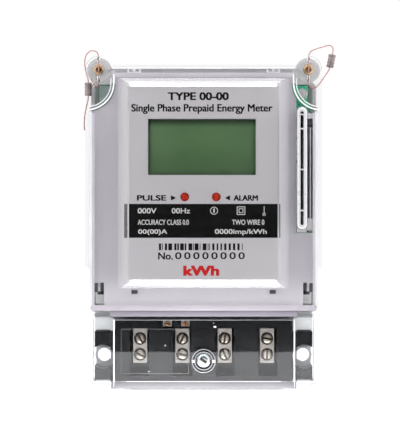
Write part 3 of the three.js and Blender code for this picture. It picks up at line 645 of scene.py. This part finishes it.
def cut_away(body, tools, name, smooth_angle=32):
    """The body with each tool cut out of it in turn. All are bmeshes, and are used up."""
    held = []
    for index, bm in enumerate((body, *tools)):
        mesh = bpy.data.meshes.new(f"{name}_work_{index}")
        bmesh.ops.recalc_face_normals(bm, faces=bm.faces)
        bm.to_mesh(mesh)
        bm.free()
        piece = bpy.data.objects.new(mesh.name, mesh)
        scene.collection.objects.link(piece)
        held.append(piece)
    for tool in held[1:]:
        modifier = held[0].modifiers.new("cut", "BOOLEAN")
        modifier.operation = "DIFFERENCE"
        modifier.solver = "EXACT"
        modifier.object = tool
    result = bpy.data.meshes.new_from_object(held[0].evaluated_get(bpy.context.evaluated_depsgraph_get()))
    for piece in held:
        mesh = piece.data
        bpy.data.objects.remove(piece)
        bpy.data.meshes.remove(mesh)
    bm = bmesh.new()
    bm.from_mesh(result)
    bpy.data.meshes.remove(result)
    return mesh_from(bm, name, smooth_angle)


def screw_mesh(name, head, height, shank, length, slotted):
    """A pan-head screw along +Y with its seat at the origin, its thread drawn as plain rings, and a crossed
    recess with one arm across the whole head when it is slotted. The recess faces take a dark metal as
    painted shade."""
    body = bmesh.new()
    dome = [(0, -height), (0.5 * head, -0.995 * height), (0.84 * head, -0.96 * height)]
    dome.append((0.94 * head, -0.88 * height))
    rim = [(0.99 * head, -0.7 * height), (head, -0.5 * height), (head, -0.06 * height), (0.96 * head, 0)]
    core = 0.82 * shank
    pitch = 0.8
    thread = [(core, 0.01)]
    for turn in range(int((length - 0.7) / pitch)):
        start = 0.3 + turn * pitch
        thread += [(core, start), (shank, start + 0.3 * pitch)]
        thread += [(shank, start + 0.45 * pitch), (core, start + 0.75 * pitch)]
    tip = [(core, length - 0.25), (0.6 * shank, length), (0, length)]
    lathe_into(body, dome + rim + thread + tip, 0, 0, 44)
    depth = 0.62 * height
    width = 0.2 * head
    arms = []
    for turn in range(2):
        reach = (1.1 if slotted and turn == 0 else 0.62) * head
        arm = bmesh.new()
        for vert in bmesh.ops.create_cube(arm, size=2)["verts"]:
            deep = vert.co.y > 0
            x = vert.co.x * reach * (0.55 if deep and reach < head else 1.0)
            z = vert.co.z * width * (0.8 if deep else 1.15)
            y = -height + depth if deep else -height - 1
            vert.co = mm(x, y, z) if turn == 0 else mm(z, y, x)
        arms.append(arm)
    mesh = cut_away(body, arms, name)
    mesh.materials.append(MATERIALS["screw"])
    mesh.materials.append(MATERIALS["recess"])
    # faces inside the recess get the dark metal: painted shade
    for face in mesh.polygons:
        deep = -0.86 * height * MM < face.center.y < 0
        inside = math.hypot(face.center.x, face.center.z) < 0.9 * head * MM
        face.material_index = 1 if deep and inside else 0
    return mesh


def place_screw(node, master, material, turn):
    """A screw in place of its CAD node, with its head where the CAD head is, turned by an angle."""
    x0, y0, z0, x1, _, z1 = extents(node)
    mesh = master.copy()
    height = max(-v.co.y for v in master.vertices) / MM
    mesh.transform(Matrix.Rotation(turn, 4, "Y"))
    mesh.transform(Matrix.Translation(mm((x0 + x1) / 2, y0 + height, (z0 + z1) / 2)))
    return add_piece(f"{node}_detailed", mesh, material, f"{node}_body", [node])


def make_screws():
    dice = random.Random(7)
    terminal = screw_mesh("terminal_screw", 2.68, 2.4, 2.15, 3.1, True)
    pulse = screw_mesh("pulse_screw", 1.45, 1.6, 1.05, 4.4, True)
    cover = screw_mesh("cover_screw", 2.75, 2.0, 1.5, 17, False)
    lid = screw_mesh("lid_screw", 3.4, 2.4, 1.85, 12, False)
    for word in TERMINALS:
        for row in ("upper", "lower"):
            place_screw(f"screw_{word}_{row}", terminal, "screw", dice.uniform(0, math.pi))
    for index in (1, 2):
        place_screw(f"pulse_screw_{index}", pulse, "copper", dice.uniform(0, math.pi))
    place_screw("cover_screw_left", cover, "brass", 0.35)
    place_screw("cover_screw_right", cover, "brass", 0.9)
    place_screw("terminal_cover_screw", lid, "zinc", 0.6)


def make_screw_shade_rings():
    """A dark ring of painted shade round each terminal screw, where its head sits in the terminal."""
    inner, outer, front, back = SCREW_SHADE_RING
    section = [(inner, front), (outer, front), (outer, back), (inner, back), (inner, front)]
    for word in TERMINALS:
        bm = bmesh.new()
        for row in ("upper", "lower"):
            x0, _, z0, x1, _, z1 = extents(f"screw_{word}_{row}")
            lathe_into(bm, section, (x0 + x1) / 2, (z0 + z1) / 2)
        bmesh.ops.remove_doubles(bm, verts=bm.verts, dist=1e-7)
        finish_piece(bm, f"terminal_{word}_painted_shade_rings", "recess", "base", "nickelled_brass")


make_screws()
make_screw_shade_rings()


# ---- Printing on the nameplate ------------------------------------------------------------------
INK_THICKNESS = 0.02
INK_STEP = 0.012  # air between the sheet and its ink, and between two layers of ink
SHEET_FRONT = extents("nameplate")[1]


class Print:
    """Flat shapes in one colour of ink, gathered into one piece."""

    def __init__(self, name, material, front):
        self.name = name
        self.material = material
        self.back = front - INK_STEP
        self.front = self.back - INK_THICKNESS
        self.bm = bmesh.new()

    def bar(self, x0, x1, z0, z1):
        block_into(self.bm, x0, x1, self.front, self.back, z0, z1)

    def outline(self, points, hole=None):
        """A flat shape from an outline in millimetres, with an inner outline of as many points as a hole."""
        layers = [
            [[self.bm.verts.new(mm(x, y, z)) for x, z in ring] for ring in (points, hole or [])]
            for y in (self.front, self.back)
        ]
        count = len(points)
        if not hole:
            self.bm.faces.new(layers[0][0])
            self.bm.faces.new(layers[1][0])
        for i in range(count):
            j = (i + 1) % count
            for ring in range(2 if hole else 1):
                near, far = layers[0][ring], layers[1][ring]
                self.bm.faces.new([near[i], near[j], far[j], far[i]])
            for layer in layers if hole else []:
                self.bm.faces.new([layer[0][i], layer[0][j], layer[1][j], layer[1][i]])

    def ring(self, x, z, outer, inner, steps=36):
        self.outline(
            [(x + outer * math.cos(a), z + outer * math.sin(a)) for a in full_turn(steps)],
            [(x + inner * math.cos(a), z + inner * math.sin(a)) for a in full_turn(steps)],
        )

    def square(self, x, z, half, line):
        corners = [(-1, -1), (1, -1), (1, 1), (-1, 1)]
        self.outline(
            [(x + half * a, z + half * b) for a, b in corners],
            [(x + (half - line) * a, z + (half - line) * b) for a, b in corners],
        )

    def words(self, text, left, right, low, high, bold=0.0):
        """Lettering that fills the box, made heavier by copies set to each side and a hair further back."""
        curve = bpy.data.curves.new("lettering", "FONT")
        curve.body = text
        curve.extrude = 0.5
        curve.resolution_u = 4
        holder = bpy.data.objects.new("lettering", curve)
        scene.collection.objects.link(holder)
        mesh = bpy.data.meshes.new_from_object(holder.evaluated_get(bpy.context.evaluated_depsgraph_get()))
        bpy.data.objects.remove(holder)
        xs = [v.co.x for v in mesh.vertices]
        ys = [v.co.y for v in mesh.vertices]
        wide = (right - left - 2 * bold) / (max(xs) - min(xs))
        tall = (high - low - bold) / (max(ys) - min(ys))
        shifts = [(0, 0), (1, 0), (2, 0), (0, 1), (2, 1)] if bold else [(0, 0)]
        for layer, (across, up) in enumerate(shifts):
            copy = mesh.copy()
            for vert in copy.vertices:
                depth = self.front + 0.002 * layer if vert.co.z > 0 else self.back
                x = left + (vert.co.x - min(xs)) * wide + across * bold
                vert.co = mm(x, depth, low + (vert.co.y - min(ys)) * tall + up * bold)
            self.bm.from_mesh(copy)
            bpy.data.meshes.remove(copy)
        bpy.data.meshes.remove(mesh)

    def finish(self):
        finish_piece(self.bm, self.name, self.material, "base", "nameplate_sheet")


def arrow(ink, x, z, size, way):
    ink.outline([(x - way * size, z + size), (x - way * size, z - size), (x + way * size, z)])


def print_nameplate():
    black = Print("nameplate_print_black", "ink_black", SHEET_FRONT)
    black.words("TYPE 00-00", -18.0, 12.6, 63.9, 67.9, 0.24)
    black.words("Single Phase Prepaid Energy Meter", -36.2, 34.5, 57.0, 62.0, 0.16)
    black.words("PULSE", -33.4, -18.7, 13.6, 16.4, 0.18)
    arrow(black, -15.1, 15.0, 1.3, 1)
    arrow(black, 11.9, 15.0, 1.3, -1)
    black.words("ALARM", 14.9, 27.2, 13.6, 16.4, 0.18)
    black.bar(-39.3, 37.9, -5.0, 12.0)
    dice = random.Random(23)
    x = -22.4
    while x < 19.4:
        width = dice.choice((0.4, 0.8, 1.1, 1.9))
        black.bar(x, x + width, -11.2, -7.8)
        x += width + dice.choice((0.4, 0.6, 1.1))
    black.words("No.", -22.8, -15.4, -15.9, -12.3, 0.14)
    for place in range(8):
        left = -14.3 + 4.53 * place
        black.words("0", left, left + 3.2, -15.7, -12.2, 0.1)
    black.finish()

    white = Print("nameplate_print_white", "ink_white", SHEET_FRONT - INK_STEP - INK_THICKNESS)
    white.words("000V", -33.0, -23.6, 7.2, 9.9, 0.08)
    white.words("00Hz", -16.0, -6.8, 7.2, 9.9, 0.08)
    white.ring(5.2, 8.6, 1.95, 1.6)
    white.words("1", 4.8, 5.6, 7.6, 9.6)
    white.square(18.7, 8.6, 2.1, 0.36)
    white.square(18.7, 8.6, 1.15, 0.34)
    white.bar(30.1, 30.45, 6.9, 10.8)
    white.ring(30.27, 6.7, 0.75, 0.45, 20)
    white.words("ACCURACY CLASS 0.0", -33.0, -7.4, 1.5, 4.1, 0.05)
    white.words("TWO WIRE 0", 14.2, 30.4, 1.5, 4.1, 0.05)
    white.words("00(00)A", -32.8, -18.2, -3.7, -0.7, 0.09)
    white.words("0000imp/kWh", 5.6, 31.6, -3.8, -0.6, 0.09)
    white.finish()

    red = Print("nameplate_print_red", "ink_red", SHEET_FRONT)
    red.words("kWh", -10.2, 7.8, -24.0, -18.9, 0.42)
    red.finish()


print_nameplate()


# ---- Display and lamps ----------------------------------------------------------------------------
def make_display():
    """The display: a cell with its glass on the front."""
    x0, y0, z0, x1, y1, z1 = extents("display_module")
    cell = [(x0, x1, y0 + 0.9, y1, z0, z1), (x0 + 0.5, x1 - 0.5, y0, y0 + 1.0, z0 + 1.2, z1 - 0.5)]
    blocks("display_cell", cell, "display", "base", "display_glass", 0.12, ["display_module"])


def make_lamp(node):
    """A round lamp: domed lens, a collar at its foot, and two wire legs down to the board."""
    x0, y0, z0, x1, y1, z1 = extents(node)
    x = (x0 + x1) / 2
    z = (z0 + z1) / 2
    radius = (x1 - x0) / 2
    rise = [i * math.pi / 20 for i in range(1, 11)]
    dome = [(radius * math.sin(a), y0 + radius * (1 - math.cos(a))) for a in rise]
    foot = [(radius, -46.4), (radius + 0.35, -46.3), (radius + 0.4, -45.3), (radius + 0.3, -45.1), (0, -45.1)]
    bm = bmesh.new()
    lathe_into(bm, [(0, y0), *dome, *foot], x, z, 44)
    finish_piece(bm, f"{node}_lens", "red", "base", "red_lens", [node])
    legs = [(x + s - 0.25, x + s + 0.25, -45.2, y1, z - 0.25, z + 0.25) for s in (-1.27, 1.27)]
    blocks(f"{node}_legs", legs, "steel", "base", "steel", 0.08)


make_display()
for lamp in ("led_pulse", "led_alarm"):
    make_lamp(lamp)


# ---- Edges of the clear covers ---------------------------------------------------------------------
ON_COVER = ("main_cover_body", "clear_cover")
ON_LID = ("terminal_cover_body", "clear_cover")
NOTCH_X = 58.2
NOTCH_Z = 72.3
BOSS_Z = -66.5
RIM_FACE = -56.0  # front of the main cover's rim
CLIP_X = (-34.6, 34.6)
# one clip's strips of painted highlight: left and right of its middle, bottom, top
CLIP_STRIPS = (
    (-3.4, 3.4, 76.9, 77.7), (-3.4, -2.5, 77.6, 79.0), (2.5, 3.4, 77.6, 79.0), (-0.6, 0.6, 78.0, 79.0),
)
LID_SPECKS = (  # x, z, size
    (5.8, -49.4, 0.8), (-19.1, -58.8, 0.45), (-27.4, -71.9, 0.35), (5.0, -47.6, 0.3), (-14.6, -74.6, 0.25),
)


def bead_into(bm, points, radius, sides=8):
    """Adds a round bead along points, in millimetres, in a plane that faces the front."""
    rings = []
    for index, point in enumerate(points):
        here = Vector(point)
        ahead = Vector(points[min(index + 1, len(points) - 1)]) - Vector(points[max(index - 1, 0)])
        ahead.normalize()
        across = ahead.cross(Vector((0, 1, 0))).normalized()
        out = ahead.cross(across)
        ring = []
        for angle in full_turn(sides):
            away = (across * math.cos(angle) + out * math.sin(angle)) * radius
            ring.append(bm.verts.new((here + away) * MM))
        rings.append(ring)
    for first, second in zip(rings, rings[1:]):
        skin(bm, first, second)
    bm.faces.new(rings[0])
    bm.faces.new(rings[-1])


def notch_edge(side, reach, y, start, top, steps=24):
    """Points along a corner notch of the main cover: round from a start angle, then straight up to top."""
    points = []
    for i in range(steps + 1):
        angle = math.radians(start + (180 - start) * i / steps)
        points.append((side * (NOTCH_X + reach * math.cos(angle)), y, NOTCH_Z - reach * math.sin(angle)))
    return [*points, (side * (NOTCH_X - reach), y, (NOTCH_Z + top) / 2), (side * (NOTCH_X - reach), y, top)]


def circle_about(x, z, radius, y, steps=48):
    turn = [2 * math.pi * i / steps for i in range(steps + 1)]
    return [(x + radius * math.cos(a), y, z + radius * math.sin(a)) for a in turn]


def stadium_about(x, z, radius, length, y, steps=12):
    """Points round a slot's outline, long along Z."""
    points = []
    for end in (1, -1):
        for i in range(steps + 1):
            angle = math.pi * i / steps + (0 if end > 0 else math.pi)
            middle = z + end * (length / 2 - radius)
            points.append((x + radius * math.cos(angle), y, middle + radius * math.sin(angle)))
    return [*points, points[0]]


def make_notch_edges():
    """Painted highlights along the edges of the main cover's corner notches."""
    bm = bmesh.new()
    for side in (-1, 1):
        bead_into(bm, notch_edge(side, 12.1, -55.9, 96, 74.5), 0.28)
        bead_into(bm, notch_edge(side, 13.5, -56.25, 94, 76.5), 0.36)
    finish_piece(bm, "main_cover_notch_edges", "bead", *ON_COVER)


def make_lid_edges():
    """The terminal cover's painted highlights on its edges and beside its boss, small white specks, its
    boss's rings in grey painted highlight, its label frame and its foot in painted shade.
    """
    bm = bmesh.new()
    # painted highlights down the terminal cover's sides and along its top
    for x in (-44.9, 45.4):
        bead_into(bm, [(x, -50.75, -79.6), (x, -50.75, -63), (x, -50.75, -46.0)], 0.38)
    bead_into(bm, [(x, -50.8, -46.1) for x in (-44.6, 0, 44.6)], 0.13)
    for x, z, size in LID_SPECKS:
        block_into(bm, x - size, x + 0.6 * size, -51.3, -51.05, z - 0.5 * size, z + 0.4 * size, 0.1)
    # painted highlights each side of the boss
    for side in (-1, 1):
        block_into(bm, side * 5.6, side * 4.4, -52.6, -52.3, BOSS_Z - 0.7, BOSS_Z + 0.5, 0.08)
    finish_piece(bm, "terminal_cover_edges", "bead", *ON_LID)
    bm = bmesh.new()
    # grey painted highlights on the boss's rings
    bead_into(bm, circle_about(0, BOSS_Z, 5.8, -52.35), 0.2)
    bead_into(bm, circle_about(0, BOSS_Z, 4.45, -52.4), 0.16)
    finish_piece(bm, "terminal_cover_collar", "collar", *ON_LID)
    bm = bmesh.new()
    corners = [(-41.25, -72.85), (-41.25, -50.65), (-7.55, -50.65), (-7.55, -72.85)]
    for (x0, z0), (x1, z1) in zip(corners, [*corners[1:], corners[0]]):
        bead_into(bm, [(x0, -51.33, z0), (x1, -51.33, z1)], 0.07)
    finish_piece(bm, "terminal_cover_frame", "faint", *ON_LID)
    # a dark strip along the cover's foot: painted shade
    blocks("terminal_cover_foot", [(-46.2, 46.2, -51.1, -50.8, -80.5, -77.1)], "foot", *ON_LID, 0.1)


def make_rim_edges():
    """Thin strips of painted highlight and painted shade on the edges of the main cover's rim, and painted
    highlights round the clips at its top.
    """
    front = RIM_FACE - 0.4
    # white painted highlights down the rim's sides
    sides = [(side * 56.9, side * 55.5, RIM_FACE - 0.45, RIM_FACE, -39.5, 58) for side in (-1, 1)]
    blocks("main_cover_side_edges", sides, "bead", *ON_COVER, 0.12)
    # paler painted highlights on the rim's inner edges and along its top
    inner = [(side * 55.5, side * 54.3, front, RIM_FACE, -38.6, 57.4) for side in (-1, 1)]
    inner.append((-45, 45, front, RIM_FACE, 75.0, 77.3))
    blocks("main_cover_inner_edges", inner, "pale", *ON_COVER, 0.12)
    blocks("main_cover_rim_band", [(-44.8, 45.4, -21.6, -21.2, 81.2, 82.5)], "band", *ON_COVER, 0.1)
    # a paler painted highlight along the rim's bottom edge
    bottom = (-56, 56, RIM_FACE - 0.45, RIM_FACE, -41.2, -38.4)
    blocks("main_cover_bottom_edge", [bottom], "pale", *ON_COVER, 0.15)
    blocks("main_cover_lower_lip", [(-46.6, 46.6, -55.0, -54.6, -44.15, -41.1)], "lip", *ON_COVER, 0.15)
    clips = []
    for x in CLIP_X:
        for left, right, low, high in CLIP_STRIPS:
            clips.append((x + left, x + right, front, RIM_FACE, low, high))
    blocks("main_cover_clip_edges", clips, "bead", *ON_COVER, 0.12)


make_notch_edges()
make_lid_edges()
make_rim_edges()


# ---- Card reader, board corners, panel and base details ---------------------------------------------
BOARD_FILM = (-22.12, -22.02)  # front and back of what is printed or plated on the board
LATCH_BARS = ((53.2, 55.0, -32.4, -27.8), (50.2, 51.9, -33.4, -27.4), (50.2, 53.4, -33.6, -32.0))


def make_card_reader():
    """Contact rail and flat cable beside the slot, white housing between them, ties across the slot, and
    painted highlights round the slot's rim.
    """
    rail = [(51.9, 53.2, -44.4, -22.4, 5, 50)]
    blocks("card_contact_rail", rail, "dark", "base", "circuit_board", 0.1, ["card_contact_board"])
    cable = [(54.1, 54.7, -43.6, -22.6, 5, 49.8)]
    blocks("card_flat_cable", cable, "dark", "base", "black_plastic", 0.08, ["card_cable"])
    housing = [
        (53.35, 53.95, -45.8, -24, 5, 50.1),
        (54.75, 55.3, -46.8, -24, -1, 57),
        (51.9, 55.3, -45.6, -24, 50.2, 50.35),
    ]
    blocks("card_reader_housing", housing, "white", "base", "white_plastic", 0.08)
    # painted highlights round the card slot's rim
    bm = bmesh.new()
    bead_into(bm, stadium_about(48.9, 29.7, 2.08, 59.8, -57.7), 0.17)
    bead_into(bm, stadium_about(48.9, 29.7, 1.02, 57.1, -57.7), 0.1)
    finish_piece(bm, "card_slot_edges", "bead", "main_cover_body", "slot_guide")
    ties = [(48.05, 49.75, -57.5, -56.6, z - 0.35, z + 0.35) for z in (56.4, 49.3, 29.1, 8.7)]
    blocks("card_slot_ties", ties, "frost", "main_cover_body", "slot_guide", 0.05)


def make_board_corners():
    """What shows through the corner notches: lighter films on the board as painted light, one grey-green and
    one bright solder-mask green, a round component, and the base's gussets.
    """
    # lighter films on the board: painted light
    grey_green_patch = [(-53.6, -40, *BOARD_FILM, 58, 72.8)]
    blocks("board_grey_green_patch_left", grey_green_patch, "grey_green_light", "base", "circuit_board", 0.02)
    mask = [(40, 53.6, *BOARD_FILM, 56, 72.8)]
    blocks("board_mask_right", mask, "mask", "base", "circuit_board", 0.02)
    bm = bmesh.new()
    button = [(0, -23.7), (1.5, -23.7), (1.7, -23.5), (2.6, -23.5), (2.9, -23.2), (2.9, -22.16), (0, -22.16)]
    lathe_into(bm, button, 50.4, 68.4)
    finish_piece(bm, "board_round_component", "white", "base", "white_plastic")
    bm = bmesh.new()
    outline = [(36, 73.6), (55.5, 73.6), (55.5, 74.0), (49.6, 79.6), (36, 79.6)]
    for side in (-1, 1):
        near, far = ([bm.verts.new(mm(side * x, y, z)) for x, z in outline] for y in (-21.8, -12))
        bm.faces.new(near)
        bm.faces.new(list(reversed(far)))
        skin(bm, near, far)
    finish_piece(bm, "base_corner_gussets", "grey", "base", "grey_base")


def make_panel_and_base_details():
    """The panel's side lip, latches and clip plugs, and the base's lower lip in painted shade, glowing
    shoulder plates of painted light, and lower gussets.
    """
    blocks("panel_side_lip", [(-55.35, -55.05, -47.4, -44, -27, 57)], "panel", "base", "silver_panel", 0.05)
    # the base's lower lip in a darker lavender grey: painted shade
    blocks("base_lower_lip", [(-46, 46, -16.3, -15.0, -46.3, -43.7)], "lavender", "base", "grey_base", 0.1)
    # glowing plates on the base's shoulders: painted light
    shoulders = [(side * 46.4, side * 56.0, -16.35, -16.05, -52.8, -46.2) for side in (-1, 1)]
    blocks("base_shoulder_faces", shoulders, "shoulder", "base", "grey_base", 0.1)
    gussets = [(side * 50.0, side * 55.2, -25.5, -24.2, -39.0, -27.6) for side in (-1, 1)]
    blocks("base_lower_gussets", gussets, "grey", "base", "grey_base", 0.3)
    latches = []
    for side in (-1, 1):
        for inner, outer, low, high in LATCH_BARS:
            latches.append((side * inner, side * outer, -44.5, -43.5, low, high))
    blocks("panel_latches", latches, "plug", "base", "black_plastic", 0.1)
    plugs = [(x - 1.45, x + 1.45, -48.4, -47.6, -32.9, -31.3) for x in CLIP_X]
    blocks("panel_clip_plugs", plugs, "plug", "base", "black_plastic", 0.1)


make_card_reader()
make_board_corners()
make_panel_and_base_details()


# ---- Floor, surroundings and colour ---------------------------------------------------------------
FLOOR_Z = -0.083
FLOOR_FRONT = -0.352  # its edge is seen mirrored in the lower part of the terminal cover
FLOOR_GLOW = 1.0
DARK_WALL = 0.012
OVERHEAD_LAMP = 3.9
GLOW_STRIP = 7.0
BRIGHT_WALL = 1.65
WALL_BEHIND = -0.64  # how much dimmer the room is behind the meter, where it is only a background


def add_stage(name, mesh, material):
    """Something around the meter that isn't part of it."""
    mesh.materials.append(material)
    piece = bpy.data.objects.new(name, mesh)
    scene.collection.objects.link(piece)


def make_floor():
    """A white table that is over-exposed, with a little texture in its own surface."""
    mesh = bpy.data.meshes.new("table_top")
    bm = bmesh.new()
    corners = [(-1.6, FLOOR_FRONT), (1.6, FLOOR_FRONT), (1.6, 2.2), (-1.6, 2.2)]
    bm.faces.new([bm.verts.new((x, y, FLOOR_Z)) for x, y in corners])
    bm.to_mesh(mesh)
    bm.free()
    material, tree, shader = new_material("white_table")
    white = ramp(tree, noise(tree, 30), [(0.3, (0.28, 0.28, 0.29)), (0.7, (0.32, 0.32, 0.33))])
    tree.links.new(white, shader.inputs["Base Color"])
    set_glow(shader, FLOOR_GLOW)
    shader.inputs["Roughness"].default_value = 0.8
    add_stage("table_top", mesh, material)


def make_glow_strip():
    """An over-exposed strip of the table right under the meter, mirrored in the window's lower slope."""
    bm = bmesh.new()
    block_into(bm, -48, 48, -76, -52.5, FLOOR_Z / MM + 0.1, FLOOR_Z / MM + 0.4)
    mesh = mesh_from(bm, "glow_strip")
    material, tree, shader = new_material("glow_strip")
    bump(tree, shader, noise(tree, 60, 2), 0.00001, 0.2)
    set_glow(shader, GLOW_STRIP)
    add_stage("glow_strip", mesh, material)


def make_surroundings():
    """A bright room with a lamp overhead, a dark wall straight in front for the cover to mirror, and a dimmer
    wall behind."""
    world = bpy.data.worlds.new("room")
    scene.world = world
    world.use_nodes = True
    tree = world.node_tree
    toward = axes(tree, "Generated")
    light = smooth_step(tree, toward["Y"], -0.925, -0.975, BRIGHT_WALL, DARK_WALL)
    lamp = smooth_step(tree, toward["Z"], 0.86, 0.94, 0.0, OVERHEAD_LAMP)
    behind = smooth_step(tree, toward["Y"], 0.1, 0.7, 0.0, WALL_BEHIND)
    for part in (lamp, behind):
        total = add_node(tree, "ShaderNodeMath", operation="ADD")
        tree.links.new(light, total.inputs[0])
        tree.links.new(part, total.inputs[1])
        light = total.outputs[0]
    background = tree.nodes["Background"]
    background.inputs["Color"].default_value = (1.0, 0.995, 1.0, 1)
    tree.links.new(light, background.inputs["Strength"])


def make_colour():
    scene.view_settings.view_transform = "Standard"
    scene.view_settings.look = "None"
    scene.view_settings.exposure = 0
    scene.view_settings.gamma = 1
    cycles = scene.cycles
    cycles.use_denoising = True
    cycles.max_bounces = 24
    cycles.transmission_bounces = 20
    cycles.transparent_max_bounces = 20
    cycles.glossy_bounces = 8
    cycles.diffuse_bounces = 4
    cycles.caustics_refractive = True
    cycles.caustics_reflective = True


make_floor()
make_glow_strip()
make_surroundings()
make_colour()
